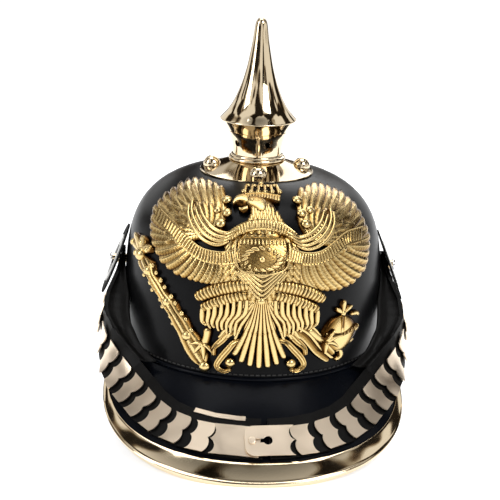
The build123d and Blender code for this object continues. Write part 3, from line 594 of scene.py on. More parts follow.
stud_count = 4
stud_circle = 32.84
stud_height = 127.3
stud_lean = 20.9
stud_profile = [
    (0.0, 6.3), (1.6, 6.1), (3.15, 5.45), (4.45, 4.45), (5.45, 3.15), (6.1, 1.6), (6.3, 0.3),
    (6.3, -1.2),
]
studs = bmesh.new()
for i in range(stud_count):
    stud = spun(stud_profile, steps=32)
    turn = Matrix.Rotation(math.tau * i / stud_count, 4, "Z")
    place = Matrix.Translation((stud_circle, 0, stud_height))
    lean = Matrix.Rotation(math.radians(stud_lean), 4, "Y")
    bmesh.ops.transform(stud, matrix=turn @ place @ lean, verts=stud.verts)
    join(studs, stud)
add_brass("brass_base_studs", studs, "base_studs")


# Eagle plate, stamped in relief and bent to the dome. Its points are distances from the helmet's
# middle and heights above the skull's lower edge

plate_clear = 1.0
plate_ceiling = 120.0
plate_spare = 3.2
plate_middle = 1.5
plate_turn = 0.055
knob_ceiling = 122.8
bead_radius = 0.7
swell_middle = 76.0
swell_half_width = 27.0
swell_half_height = 42.0
swell_rise = 4.2
barb_pitch = 2.1
reed_pitch = 1.9
rib_pitch = 2.5
edge_sink = 0.4
edge_drop = 1.2
end_height_share = 0.35
# Share of the painted shine left at a strip's rounded ends, which paints shade there
end_painted_shine_share = 0.4
feather_width_shares = (0.36, 0.42, 0.5, 0.5, 0.44)


def body_swell(x, height):
    """How much further the eagle's body stands out, round its breast."""
    sideways = (x - plate_middle) / swell_half_width
    up = (height - swell_middle) / swell_half_height
    return swell_rise * max(1 - sideways**2 - up**2, 0.0) ** 0.7


def plate_point(x, height, raised):
    """A point on the plate, bent to the dome and kept below the spike's base plate."""
    if height > plate_ceiling:
        over = (height - plate_ceiling) / plate_spare
        height = plate_ceiling + plate_spare * (1 - math.exp(-over))
    spot, out = dome_front(x, height)
    return spot + out * (plate_clear + raised + body_swell(x, height))


def mirrored(points):
    """The same points on the plate's other side, by its slight turn."""
    return [(2 * plate_middle - x, z - plate_turn * (plate_middle - x)) for x, z in points]


def beside(side, *points):
    """Points given by their distance from the plate's middle, on one side of it."""
    return [(plate_middle + side * x, z) for x, z in points]


def across(middle, reach, count):
    """Values at equal steps from one side of a middle to the other."""
    return [middle + reach * (2 * i / (count - 1) - 1) for i in range(count)]


def spaced(line, rows):
    """Points at equal distances along a line, with the line's length."""
    ends = [0.0]
    for near, far in zip(line, line[1:]):
        ends.append(ends[-1] + (far - near).length)
    places = []
    j = 0
    for i in range(rows + 1):
        distance = ends[-1] * i / rows
        while j < len(line) - 2 and ends[j + 1] < distance:
            j += 1
        run = max(ends[j + 1] - ends[j], 1e-6)
        places.append(line[j].lerp(line[j + 1], (distance - ends[j]) / run))
    return places, ends[-1]


def value_along(values, share):
    """A value between the given ones, by how far along it is."""
    if isinstance(values, (int, float)):
        return values
    spot = share * (len(values) - 1)
    i = min(int(spot), len(values) - 2)
    return values[i] + (values[i + 1] - values[i]) * (spot - i)


# Profiles across a strip: height and painted shine at u, from -1 to 1 across it, and a distance along it


# Painted shine: a painted highlight on the tops of ridges, shafts, barbs and ribs, and painted shade where
# it falls low
def rounding(u):
    """A half round."""
    return math.sqrt(max(1 - u * u, 0))


def ridge(u, place, width):
    """A smooth ridge beside the middle."""
    return math.exp(-(((u - place) / width) ** 2))


def round_profile(u, distance):
    """A plain rounded ridge."""
    dome = rounding(u)
    return dome, 0.05 + 0.9 * dome**3.2


def feather_profile(u, distance):
    """A feather: a shaft, and barbs that run out from it."""
    dome = rounding(u)
    shaft = ridge(u, 0, 0.14)
    barb = 0.5 + 0.5 * math.cos(math.tau * (distance / barb_pitch - abs(u) * 0.9))
    barb *= min(abs(u) * 4, 1) * dome
    height = 0.62 * dome + 0.24 * shaft + 0.16 * barb
    return height, 0.04 + 0.5 * dome**2.2 + 0.26 * shaft + 0.26 * barb


def ribbon_profile(u, distance):
    """A flat band between raised borders."""
    border = ridge(abs(u), 0.82, 0.12)
    inner = ridge(abs(u), 0.56, 0.08)
    edge = 1.0 if abs(u) < 0.97 else 0.2
    return (0.5 + 0.4 * border + 0.15 * inner) * edge, 0.3 * edge + 0.62 * border + 0.3 * inner


def reeded_profile(u, distance):
    """A band of small upright ribs between raised borders."""
    border = ridge(abs(u), 0.82, 0.13)
    rib = abs(math.cos(math.pi * distance / reed_pitch)) ** 0.8 if abs(u) < 0.6 else 0.0
    edge = 1.0 if abs(u) < 0.97 else 0.2
    return (0.4 + 0.5 * border + 0.4 * rib) * edge, 0.24 * edge + 0.66 * border + 0.6 * rib


def field_profile(u, distance):
    """A plain, faintly pebbled field."""
    pebble = math.sin(distance * 4.1 + 3 * u) * math.sin(u * 29 + distance)
    return 0.8 + 0.08 * pebble, 0.56 + 0.12 * pebble


def strand_profile(u, distance):
    """Parallel strands, as on the thighs."""
    dome = rounding(u)
    strand = abs(math.cos(math.pi * 1.5 * u))
    return 0.6 * dome + 0.4 * strand * dome, 0.06 + 0.2 * dome + 0.74 * strand**1.5 * dome


def rib_profile(u, distance):
    """Short ribs side by side along a rolled edge."""
    dome = rounding(u)
    rib = abs(math.cos(math.pi * distance / rib_pitch))
    return 0.6 * dome + 0.4 * rib * dome, 0.05 + 0.2 * dome + 0.75 * rib**1.5 * dome**1.5


def opening(distance, reach):
    """How far a rounded end has opened at a distance from it."""
    if distance >= reach:
        return 1.0
    return math.sqrt(max(1 - (1 - distance / reach) ** 2, 0))


def strip(
    bm, line, widths, height, base=0.0, profile=round_profile,
    cols=8, rows=22, tip=1, root=1, tilt=0.0,
):
    """A stamped strip along a line: a grid bent to the line, with a profile across it.

    Widths are half widths along it, base lifts it off the plate, and tip and root say how long
    its rounded ends are, as shares of the half width. At 0 an end is square and stays raised.
    """
    part = bmesh.new()
    layer = part.verts.layers.float.new(painted_light_layer)
    places, length = spaced(smooth_line([(x, z, 0) for x, z in line], 8), rows)
    grid = bmesh.ops.create_grid(part, x_segments=cols, y_segments=rows, size=1.0)["verts"]
    for vert in grid:
        row = round((vert.co.y + 1) / 2 * rows)
        column = round((vert.co.x + 1) / 2 * cols)
        u = vert.co.x
        share = row / rows
        way = (places[min(row + 1, rows)] - places[max(row - 1, 0)]).normalized()
        half = value_along(widths, share)
        distance = share * length
        open_share = opening(length - distance, half * tip) * opening(distance, half * root)
        raised, painted_shine = profile(u, distance)
        raised *= value_along(height, share) * (end_height_share + (1 - end_height_share) * open_share)
        raised += base + tilt * u
        # Painted shine fades towards the rounded ends, as painted shade
        painted_shine *= end_painted_shine_share + (1 - end_painted_shine_share) * open_share
        # The sunken edges get no painted shine: painted shade along the strip's edges
        if column in (0, cols) or (row == rows and tip) or (row == 0 and root):
            raised, painted_shine = min(-edge_sink, base - edge_drop), 0.0
        x = places[row].x - way.y * half * u * open_share
        z = places[row].y + way.x * half * u * open_share
        vert.co = plate_point(x, z, raised)
        vert[layer] = painted_shine
    bmesh.ops.reverse_faces(part, faces=part.faces)
    join(bm, part)


def knob(bm, x, height, radius, raised=0.0, flat=0.8, fine=12):
    """A round knob standing half out of the plate, with a painted highlight on its outward face."""
    part = bmesh.new()
    layer = part.verts.layers.float.new(painted_light_layer)
    out = dome_front(x, min(height, knob_ceiling))[1]
    centre = plate_point(x, height, raised)
    place = out.to_track_quat("Z", "Y").to_matrix().to_4x4()
    place.translation = centre
    place = place @ Matrix.Diagonal((1, 1, flat, 1))
    ball = bmesh.ops.create_uvsphere(
        part, u_segments=fine, v_segments=fine // 2, radius=radius, matrix=place
    )["verts"]
    # Painted highlight on the knob's outward face, fading to painted shade towards its foot
    for vert in ball:
        vert[layer] = 0.15 + 0.85 * min(max((vert.co - centre).dot(out) / radius + 0.3, 0), 1)
    join(bm, part)


def beads(bm, line, pitch, raised):
    """A row of small beads along a line."""
    smooth = smooth_line([(x, z, 0) for x, z in line], 8)
    total = sum((b - a).length for a, b in zip(smooth, smooth[1:]))
    for place in spaced(smooth, max(int(total / pitch), 1))[0]:
        knob(bm, place.x, place.y, bead_radius, raised, 0.9, 8)


def feather(bm, root, tip, width, height=1.6, base=0.0, bend=0.0, tilt=0.0, rows=24):
    """One feather from its root to its tip, bent sideways by a share of its length."""
    start, end = Vector(root), Vector(tip)
    way = end - start
    side = Vector((-way.y, way.x)) * bend
    line = [start, start + way * 0.35 + side * 0.8, start + way * 0.7 + side * 0.75, end]
    widths = [width * share for share in feather_width_shares]
    strip(bm, line, widths, height, base, feather_profile, 12, rows, 1.1, 0.6, tilt)


def spray(bm, root, bow, tips, widths, height, base, rows=14):
    """Leaves or claws from one root to several tips, bowed at their middles."""
    for tip in tips:
        middle = ((root[0] + tip[0]) / 2 + bow[0], (root[1] + tip[1]) / 2 + bow[1])
        strip(bm, [root, middle, tip], widths, height, base, rows=rows)


# Long feathers: root, tip and width, from the top of each wing round to its lower edge
left_feathers = [
    ((-30, 98), (-27.0, 122.0), 7.5), ((-33, 99), (-36.2, 123.2), 9.5), ((-38, 98), (-46.4, 121.4), 10.0),
    ((-42, 96), (-57.0, 117.2), 11.0), ((-46, 94), (-67.0, 110.6), 12.0), ((-50, 92), (-74.0, 102.4), 11.5),
    ((-54, 90), (-75.4, 93.0), 10.5), ((-50, 92), (-74.0, 82.8), 10.5), ((-47, 89), (-68.0, 73.6), 10.5),
    ((-42, 87), (-57.8, 68.2), 10.0), ((-37, 86), (-48.0, 66.8), 9.5), ((-32, 85), (-40.0, 66.2), 9.0),
    ((-28, 84), (-33.0, 66.0), 8.0), ((-24, 84), (-27.0, 66.6), 7.0),
]
right_feathers = [
    ((33, 98), (30.5, 121.6), 7.5), ((36, 99), (41.6, 121.8), 9.5), ((41, 98), (52.0, 118.6), 10.0),
    ((45, 96), (62.0, 114.2), 11.0), ((49, 94), (70.6, 107.2), 12.0), ((53, 91), (76.2, 98.0), 11.5),
    ((57, 88), (80.0, 87.4), 10.5), ((53, 90), (79.0, 77.0), 10.5), ((49, 88), (76.4, 68.0), 10.5),
    ((45, 86), (68.4, 62.2), 10.5), ((40, 85), (58.6, 60.4), 10.0), ((35, 84), (49.4, 61.4), 9.5),
    ((31, 83), (41.2, 63.6), 8.5), ((27, 82), (33.4, 65.6), 7.5),
]
long_feather_share = 0.76
long_feather_step = 0.35
long_feather_tilt = 0.5
top_bend = 0.18
bend_spread = 0.32

# Short feathers: the length and the count of each row, the lowest row first
short_rows = ((27.0, 11), (19.0, 10), (12.0, 8))
short_root = (-35.0, 95.0)
short_root_shift = -1.6
short_bend = -0.14


def stamp_long_feathers(bm):
    """The long feathers of both wings, with one more between each two."""
    for feathers, side in ((left_feathers, 1), (right_feathers, -1)):
        fan = [feathers[0]]
        for near, far in zip(feathers, feathers[1:]):
            root, tip = [Vector(near[k]).lerp(Vector(far[k]), 0.5) for k in (0, 1)]
            fan += [(root, tip, (near[2] + far[2]) / 2), far]
        for i, (root, tip, width) in enumerate(fan):
            bend = side * (bend_spread * i / (len(fan) - 1) - top_bend)
            width *= long_feather_share
            base = long_feather_step * (i % 2)
            feather(bm, root, tip, width, 2.0, base, bend, tilt=long_feather_tilt * side)


def stamp_short_feathers(bm):
    """Rows of short feathers over the roots of the long ones."""
    for side in (1, -1):
        for row, (length, count) in enumerate(short_rows):
            x, z = short_root[0] + short_root_shift * row, short_root[1]
            width = 6.4 - 0.5 * row
            base = 0.6 + 0.5 * row
            for angle in across(140 + 3 * row, 60, count):
                turn = math.radians(angle)
                tip = (x + math.cos(turn) * length * 1.15, z + math.sin(turn) * length)
                pair = [(x, z), tip] if side > 0 else mirrored([(x, z), tip])
                feather(bm, *pair, width, 1.7, base, bend=short_bend * side, rows=20)


def stamp_arms(bm):
    """Curved ridges side by side from the breast to the wrists, and knobs at the wrists."""
    arm = [(-20.0, 94.0), (-29.0, 91.6), (-37.4, 93.6), (-44.0, 98.6), (-47.6, 105.0), (-47.0, 111.0)]
    for i in range(4):
        line = [(x + 2.3 * i, z + 2.2 * i) for x, z in arm[: 6 - i // 2]]
        for edge in (line, mirrored(line)):
            strip(bm, edge, [1.0, 1.6, 1.5, 1.7, 1.5, 1.1], height=2.4, base=1.3 + 0.3 * i, rows=40)
    for x, z, radius in (
        (-22.2, 115.2, 3.8), (-22.0, 109.4, 3.6), (-26.2, 103.6, 4.0), (-28.6, 110.0, 3.0),
        (25.6, 115.6, 3.8), (28.0, 109.6, 3.6), (31.0, 104.0, 4.0), (33.8, 110.6, 3.0),
    ):
        knob(bm, x, z, radius, raised=2.0, flat=0.7, fine=16)


def reeded(bm, line, width, base, cols, rows):
    """A reeded band with square ends."""
    strip(bm, line, width, 1.6, base, reeded_profile, cols, rows, tip=0, root=0)


def stamp_ribbons(bm):
    """Ribbons across the wings, reeded instead of worded."""
    left = [
        (-69.4, 100.6), (-59.4, 96.4), (-51.8, 91.8), (-44.2, 87.2), (-36.2, 84.4), (-24.0, 84.0),
        (-13.0, 86.4),
    ]
    right = [(17.0, 87.6), (30.2, 84.2), (41.0, 84.2), (50.4, 88.0), (59.4, 92.2), (71.0, 91.6)]
    left_inner = [(-38.2, 103.4), (-34.4, 98.6), (-28.2, 96.4), (-20.0, 95.4)]
    right_inner = [(23.0, 95.6), (31.0, 96.0), (37.2, 98.0), (41.6, 102.4)]
    for line, half in ((left, 4.6), (right, 4.6), (left_inner, 2.7), (right_inner, 2.7)):
        reeded(bm, line, half, base=1.9, cols=14, rows=150)


def stamp_breast(bm):
    """The trunk under rows of small feathers, which narrow towards the tail."""
    row_count = 13
    row_pitch = 3.7
    top_row = 96.5
    half_width = 23.0
    widest_height = 80.0
    taper_reach = 44.0
    first_narrow_row = 8
    trunk = beside(0, (0, 46), (0, 62), (0, 80), (0, 96)) + [(3.0, 108)]
    strip(
        bm, trunk, [10, 18, 25, 25, 15], height=1.4, base=0.2,
        cols=14, rows=40, tip=0.6, root=0.6,
    )
    for row in range(row_count):
        height = top_row - row_pitch * row
        reach = half_width * math.sqrt(max(1 - ((height - widest_height) / taper_reach) ** 2, 0.2))
        reach *= 1 - 0.1 * max(row - first_narrow_row, 0)
        for x in across(plate_middle, reach, 11 if row % 2 else 10):
            lean = (x - plate_middle) * 0.12
            root, tip = (x - lean, height + 3.4), (x + lean, height - 3.8)
            feather(bm, root, tip, 5.0, height=1.3, base=0.9 + 0.02 * row, rows=10)


def stamp_panel(bm):
    """The bordered panel on the breast, with reeds, a wreath round a knob and a band above."""
    field = beside(0, (0, 97.5), (0, 90), (0, 82), (0, 76.5))
    strip(
        bm, field, [17.0, 17.4, 16.6, 13.0], height=1.2, base=1.6, profile=field_profile,
        cols=26, rows=40, tip=0.3, root=0.2,
    )
    border = [
        (-15.4, 95.6), (-15.6, 86.0), (-12.0, 78.2), (1.5, 75.6), (15.0, 78.2), (18.6, 86.0),
        (18.4, 95.6),
    ]
    strip(bm, border, 0.9, height=1.0, base=2.9, cols=6, rows=50)
    inner_border = [(x * 0.84 + 0.24, 87 + (z - 87) * 0.8) for x, z in border]
    beads(bm, inner_border, pitch=2.2, raised=3.1)
    for x in across(plate_middle, 13.8, 13):
        reed = [(x, 95.6), (x, 92.2)]
        strip(bm, reed, 0.85, height=1.2, base=2.8, cols=6, rows=8)
    wreath_height = 84.6
    leaves = 16
    for i in range(leaves):
        leaf = []
        for k in range(3):
            turn = math.tau * (i + 0.5) / leaves + 0.2 * k
            away, up = (8.6 + 2.4 * k) * math.cos(turn), (5.0 + k) * math.sin(turn)
            leaf.append((plate_middle + away, wreath_height + up))
        strip(bm, leaf, [1.0, 1.7, 0.6], height=2.4, base=2.1, rows=14)
    knob(bm, plate_middle, wreath_height, radius=2.6, raised=2.4)
    band = [(-20.0, 96.4), (-12.0, 100.8), (-3.0, 102.8), (6.0, 102.8), (15.0, 100.8), (23.0, 96.4)]
    reeded(bm, band, 3.0, base=2.4, cols=14, rows=120)


def stamp_collars(bm):
    """Pointed collars under the panel, and strands that fall from their point."""
    for i in range(6):
        wide = 17.6 - 1.9 * i
        lift = 2.9 * i
        arm = [(wide, 78.0), (wide * 0.5, 68.4 + lift * 0.5)]
        collar = beside(-1, *arm) + beside(0, (0, 60.0 + lift)) + beside(1, *arm[::-1])
        strip(bm, collar, 1.25, height=1.7, base=1.9, cols=6, rows=44)
        if i == 0:
            beads(bm, collar, pitch=2.4, raised=3.4)
    knob(bm, plate_middle, 58.6, radius=2.8, raised=2.6)
    for side in (-1, 1):
        for i in range(4):
            strand = beside(
                side, (1.6 + 1.4 * i, 58.5), (5.0 + 2.6 * i, 49.0), (9.0 + 4.0 * i, 39.0),
                (11.0 + 5.6 * i, 28.6),
            )
            strip(bm, strand, [1.0, 1.6, 1.9, 1.3], height=2.0, base=0.5, rows=26)


def stamp_neck(bm):
    """The neck and its small feathers."""
    line = [(2.0, 98.0), (3.4, 103.0), (3.6, 108.0), (1.0, 112.2), (-3.6, 114.6), (-7.8, 114.8)]
    strip(
        bm, line, [15, 12.0, 9.4, 7.4, 5.4, 3.6], height=2.2, base=0.8,
        cols=12, rows=34, tip=0.8, root=0.2,
    )
    for row in range(7):
        height = 100.5 + 1.9 * row
        middle = 3.4 - 1.4 * max(row - 4, 0)
        for x in across(middle, 12.4 - 1.25 * row, 8 if row % 2 else 7):
            root, tip = (x, height + 2.4), (x + (x - middle) * 0.16, height - 2.8)
            feather(bm, root, tip, 3.6, height=1.1, base=2.7, rows=8)


def stamp_head(bm):
    """The head with its beak, eye and crown."""
    crest = [(4.0, 110.4), (-0.5, 113.4), (-5.5, 114.6), (-9.4, 114.4)]
    strip(bm, crest, [5.2, 4.6, 3.6, 2.4], height=2.4, base=2.0, cols=12, rows=20)
    upper_beak = [(-7.0, 115.4), (-11.6, 116.2), (-15.6, 115.4), (-18.2, 112.8)]
    strip(bm, upper_beak, [2.6, 2.3, 1.8, 0.7], height=2.4, base=2.0, rows=18, tip=0.5)
    lower_beak = [(-7.5, 112.4), (-11.4, 111.6), (-14.6, 111.8)]
    strip(bm, lower_beak, [1.5, 1.3, 0.6], height=1.5, base=1.6, cols=6, rows=12)
    knob(bm, -5.4, 114.8, radius=1.3, raised=4.4)
    crown_band = [(-9.8, 116.8), (1.4, 117.4), (13.8, 116.2)]
    reeded(bm, crown_band, 1.5, base=2.4, cols=12, rows=60)
    for foot, top in zip(across(1.6, 12.0, 6), across(1.55, 9.75, 6)):
        knob(bm, foot, 119.4, radius=2.4, raised=1.8)
        arch = [(foot, 118.2), (top, 122.4)]
        strip(bm, arch, [1.6, 1.2], height=2.2, base=1.8, rows=14)
    for x in across(1.4, 9.0, 5):
        knob(bm, x, 122.2, radius=1.8, raised=1.8)
    knob(bm, 1.4, 123.6, radius=2.0, raised=2.4)


def stamp_thighs(bm):
    """Locks of feathers on the thighs under two ribbed rolls."""
    lock_count = 8
    for side in (-1, 1):
        hip = beside(side, (7.0, 69.0), (20.0, 66.4), (33.0, 61.6), (43.0, 55.4))
        knee = beside(side, (8.0, 62.0), (20.0, 58.6), (31.0, 53.6), (39.6, 48.6))
        for i in range(lock_count):
            share = i / (lock_count - 1)
            lock = beside(
                side,
                (9.0 + 29.0 * share, 60.0 - 10.0 * share**1.4),
                (10.0 + 28.0 * share, 50.0 - 5.0 * share),
                (15.6 + 22.0 * share, 41.6 - 1.6 * share),
                (16.4 + 18.0 * share, 31.6 + 4.4 * share + 1.6 * (i % 2)),
            )
            base = 0.2 + 0.5 * (i % 2)
            strip(bm, lock, [1.7, 2.3, 2.0, 1.2], 3.4, base, cols=10, rows=30, root=0.6)
        knee_widths, hip_widths = [3.4, 4.2, 4.2, 3.4], [3.6, 4.6, 4.8, 4.0]
        strip(bm, knee, knee_widths, 2.2, 1.4, rib_profile, cols=12, rows=60, root=0.6)
        strip(bm, hip, hip_widths, 2.4, 2.0, rib_profile, cols=12, rows=64, root=0.6)


def stamp_legs(bm):
    """Both legs and their claws, and the bar held by the claws on the photo's right."""
    for leg in (
        [(-33.0, 36.0), (-33.6, 29.0), (-35.6, 22.6)],
        [(34.0, 36.0), (40.0, 30.0), (46.4, 25.0)],
    ):
        strip(bm, leg, [3.4, 2.8, 3.2], height=2.2, base=0.8, cols=10, rows=18)
    left_claws = [(-44.6, 21.6), (-41.0, 15.6), (-34.4, 12.4), (-29.4, 19.0)]
    right_claws = [(51.0, 34.4), (56.4, 29.0), (53.4, 20.6), (44.0, 17.4)]
    claw_widths = [2.2, 1.9, 0.6]
    spray(bm, (-35.6, 24.0), (0, 1.0), left_claws, claw_widths, height=2.2, base=1.8)
    spray(bm, (45.0, 26.0), (0.5, 1.0), right_claws, claw_widths, height=2.4, base=4.2)
    bar = [(26.0, 39.0), (34.5, 32.5), (43.0, 21.0), (52.0, 11.4)]
    strip(
        bm, bar, [6.4, 6.4, 6.0, 4.6], height=1.8, base=0.9, profile=ribbon_profile,
        cols=16, rows=34, tip=0.8, root=0.4,
    )
    strip(bm, bar, 1.6, height=1.4, base=2.0, cols=6, rows=34)
    curl = [(54.0, 9.6), (58.4, 11.6), (57.4, 16.0), (53.6, 16.4)]
    strip(bm, curl, [2.6, 2.2, 1.8, 1.0], height=1.8, base=0.6, rows=16)


def stamp_orb(bm):
    """The orb with its bands, and the leaves on it."""
    ball = [(57.0, 15.0), (57.0, 28.5), (57.0, 42.0)]
    strip(bm, ball, [12.4, 14.0, 12.4], height=3.8, cols=18, rows=30, tip=1.1, root=1.1)
    level_band = [(45.4, 31.6), (56.8, 28.4), (68.6, 31.6)]
    upright_band = [(57.2, 29.6), (57.6, 35.0), (58.0, 40.8)]
    strip(bm, level_band, 1.6, 1.2, 3.2, ribbon_profile, rows=26, tip=0, root=0)
    strip(bm, upright_band, 1.5, 1.2, 3.0, ribbon_profile, rows=16, tip=0, root=0)
    beads(bm, [(45.8, 31.6), (56.8, 28.4), (68.2, 31.6)], pitch=2.4, raised=4.2)
    leaves = [(59.4, 52.4), (53.6, 47.6), (65.6, 47.0)]
    spray(bm, (58.8, 42.6), (0, 0), leaves, [1.0, 1.6, 2.2, 1.2], height=1.8, base=0.6)
    knob(bm, 58.8, 42.8, radius=2.4, raised=1.4)
    for root, tip in (
        ((64.6, 40.2), (70.6, 37.2)), ((66.4, 26.4), (71.2, 30.0)), ((62.6, 19.4), (67.6, 21.4)),
    ):
        spray(bm, root, (1.4, 1.0), [tip], [1.2, 2.2, 1.2], height=1.6, base=0.6, rows=12)


def stamp_tail(bm):
    """The tail's rays and the scrolls beside it."""
    tips = [(-15.4, 17.6), (-10.6, 12.6), (-4.6, 10.2), (1.5, 9.0), (7.6, 9.4), (13.8, 11.2), (18.8, 15.6)]
    for share, tip in zip(across(0, 1, len(tips)), tips):
        line = [(1.6 + 2.4 * share, 61.0), (1.6 + 7.0 * share, 42.0), (1.5 + 13.0 * share, 26.0), tip]
        base = 0.4 + 1.2 * (1 - abs(share))
        strip(bm, line, [0.7, 1.2, 1.9, 2.6, 2.5], 3.2, base, cols=10, rows=40, root=0.8)
    for scroll in (
        [
            (-8.0, 30.0), (-14.6, 27.6), (-19.4, 21.6), (-24.6, 13.8), (-26.4, 8.6), (-21.6, 5.8),
            (-16.6, 8.0),
        ],
        [
            (11.6, 30.0), (18.8, 28.4), (24.4, 22.6), (30.0, 15.6), (32.0, 10.0), (27.4, 6.8),
            (22.2, 8.2),
        ],
        [(-11.0, 36.0), (-18.6, 33.6), (-23.6, 28.0), (-28.6, 21.6), (-28.2, 15.6)],
        [(14.4, 36.0), (21.4, 34.0), (26.6, 28.6), (32.2, 22.4), (33.0, 16.6)],
    ):
        widths = [1.8, 2.6, 3.0, 2.8, 2.2, 1.6]
        strip(bm, scroll, widths, 2.2, 0.5, strand_profile, cols=10, rows=34, root=0.6)
    for place in ((-17.4, 12.6), (23.0, 12.4)):
        knob(bm, *place, radius=3.7, raised=1.8)


def stamp_sceptre(bm):
    """The sceptre: a baluster with knobs, leaves at its joints and a knobbed head."""
    ways = [
        (-34.6, 7.4), (-40.4, 16.6), (-46.8, 27.0), (-53.6, 37.6), (-61.0, 47.4), (-68.4, 56.4),
        (-74.4, 64.2), (-79.6, 72.6),
    ]
    widths = [4.4, 7.4, 8.4, 7.6, 6.2, 6.6, 5.0, 5.6, 4.0, 4.6, 3.6, 6.6, 5.4]
    strip(bm, ways, widths, 3.2, 0.3, strand_profile, cols=12, rows=80)
    for i, radius in ((0, 4.4), (2, 4.2), (4, 3.8), (6, 4.0), (7, 5.4)):
        knob(bm, *ways[i], radius, raised=1.4)
    for x, z in ways[1:-1]:
        for side in (1, -1):
            for reach, up, radius in ((4.4, 2.2, 2.2), (5.2, -2.0, 1.9)):
                leaf = (x + side * reach * 0.82 - up * 0.5, z + side * reach * 0.5 + up)
                knob(bm, *leaf, radius, raised=0.8)
    for place in ((-83.4, 71.4), (-75.6, 77.4), (-85.8, 76.8), (-79.6, 80.2)):
        knob(bm, *place, radius=2.6, raised=1.6)
    leaves = [(-87.0, 77.6), (-84.2, 84.0), (-77.8, 85.4), (-72.6, 81.0)]
    spray(bm, (-80.0, 74.0), (0, 0), leaves, [1.6, 2.6, 3.2, 2.0], height=2.0, base=0.8)


eagle = bmesh.new()
eagle.verts.layers.float.new(painted_light_layer)
for stamp in (
    stamp_long_feathers, stamp_short_feathers, stamp_arms, stamp_ribbons, stamp_breast,
    stamp_panel, stamp_collars, stamp_neck, stamp_head, stamp_thighs, stamp_legs, stamp_orb,
    stamp_tail, stamp_sceptre,
):
    stamp(eagle)
add_piece("gilt_eagle", eagle, gilt, "helmet", ["eagle_plate"], sharp=70)


# Chin scales: each plate of the solids, its lobed end lifted and its other end drawn in

scale_count = 10
scale_share = 0.76
lobe_lift = 1.1
strap_middle = Vector((0, 0, -80))
side_bodies = {"left": "left_chin_scales", "right": "right_chin_scales"}


def middle_of(bm):
    """Mean place of a shape's corners."""
    return sum((vert.co for vert in bm.verts), Vector()) / len(bm.verts)


for side, body in side_bodies.items():
    names = ["%s_scale_%02d" % (side, i + 1) for i in range(scale_count)]
    plates = [cad_copy(name, bevel=0.22) for name in names]
    middles = [middle_of(bm) for bm in plates]
    for i, (name, bm) in enumerate(zip(names, plates)):
        along = (middles[min(i + 1, scale_count - 1)] - middles[max(i - 1, 0)]).normalized()
        out = max(bm.faces, key=lambda face: face.calc_area()).normal.copy()
        if out.dot(middles[i] - strap_middle) < 0:
            out.negate()
        reaches = [vert.co.dot(along) for vert in bm.verts]
        near, length = min(reaches), max(reaches) - min(reaches)
        for vert in bm.verts:
            share = (vert.co.dot(along) - near) / length
            vert.co += along * (share * length * (scale_share - 1)) + out * lobe_lift * (1 - share)
        add_brass("chin_plate_%s_%02d" % (side, i + 1), bm, name, body, 12, plate_brass)


# Keyhole plate, with its free end lifted, and the plain plate, button and folded strip

free_end_lift = Vector((0, -0.8, 0.6))
free_end_reach = 17.0

for node, side in (
    ("left_end_plate", "left"),
    ("right_end_plate", "right"),
    ("right_edge_clip", "right"),
    ("strap_button", "right"),
):
    bm = cad_copy(node, bevel=0.2)
    if node == "left_end_plate":
        for vert in bm.verts:
            vert.co += free_end_lift * max(-vert.co.x / free_end_reach, 0)
    add_brass("smooth_" + node, bm, node, side_bodies[side], 12, plate_brass)


# Leather folds that close the gap between each strap and the skull

fold_outer = [
    (97.6, 4.0, 61.0), (98.6, -8.0, 58.0), (101.2, -22.0, 50.2), (107.0, -35.0, 38.4),
    (108.0, -48.0, 28.6), (100.6, -61.0, 19.4), (91.0, -70.6, 9.8), (80.6, -84.0, 3.0),
]
fold_steps = 6
fold_wall = 0.9
fold_clear = 0.9
fold_room = 6.5
fold_sag = 2.2
fold_ruffle = 0.5
plate_end_y = -38.0
plate_fade = 20.0


def skull_side(y, height):
    """Half width of the skull at a place along it and a height."""
    share = dome_share(max(height, 0) / skull_height)
    return skull_half_width * math.sqrt(max(share**2 - (y / skull_half_length) ** 2, 0))


for side, sign in (("left", 1), ("right", -1)):
    fold = bmesh.new()
    outer = smooth_line(fold_outer)
    rows = len(outer) - 1
    grid = bmesh.ops.create_grid(fold, x_segments=fold_steps, y_segments=rows, size=1.0)["verts"]
    for vert in grid:
        place = outer[round((vert.co.y + 1) / 2 * rows)]
        share = (vert.co.x + 1) / 2
        past_plate = min(max((plate_end_y - place.y) / plate_fade, 0), 1)
        clear = fold_clear + fold_room * past_plate
        inner_x = min(skull_side(place.y, place.z) + clear, place.x - 0.5)
        sag = fold_sag * math.sin(math.pi * share)
        ruffle = fold_ruffle * math.sin(place.y * 1.1) * share
        x = inner_x + (place.x - inner_x) * share
        vert.co = Vector((sign * x, place.y + sag, place.z - sag + ruffle))
    bmesh.ops.recalc_face_normals(fold, faces=fold.faces)
    piece = add_piece("strap_fold_" + side, fold, strap_leather, side_bodies[side])
    wall = piece.modifiers.new("wall", "SOLIDIFY")
    wall.thickness = fold_wall * mm


# Welt and thread where the peaks are sewn to the skull

welt_radius = 1.5
welt_grow = 0.5
welt_height = 0.4
thread_radius = 0.55
thread_grow = 0.25
thread_height = 3.4
stitch_count = 74
stitch_share = 0.66


def brim_frames(first, last, steps, grow, height):
    """Frames along the skull's lower edge, between two angles from dead ahead."""
    frames = []
    up = Vector((0, 0, 1))
    for i in range(steps + 1):
        angle = math.radians(first + (last - first) * i / steps)
        x, y = math.sin(angle), -math.cos(angle)
        out = Vector((x / skull_half_width, y / skull_half_length, 0)).normalized()
        place = Vector(((skull_half_width + grow) * x, (skull_half_length + grow) * y, height))
        frames.append(axes_frame(place, out, up, out.cross(up)))
    return frames


def round_section(radius, count):
    """Corners of a round section."""
    turns = [math.tau * i / count for i in range(count)]
    return [(radius * math.cos(t), radius * math.sin(t)) for t in turns]


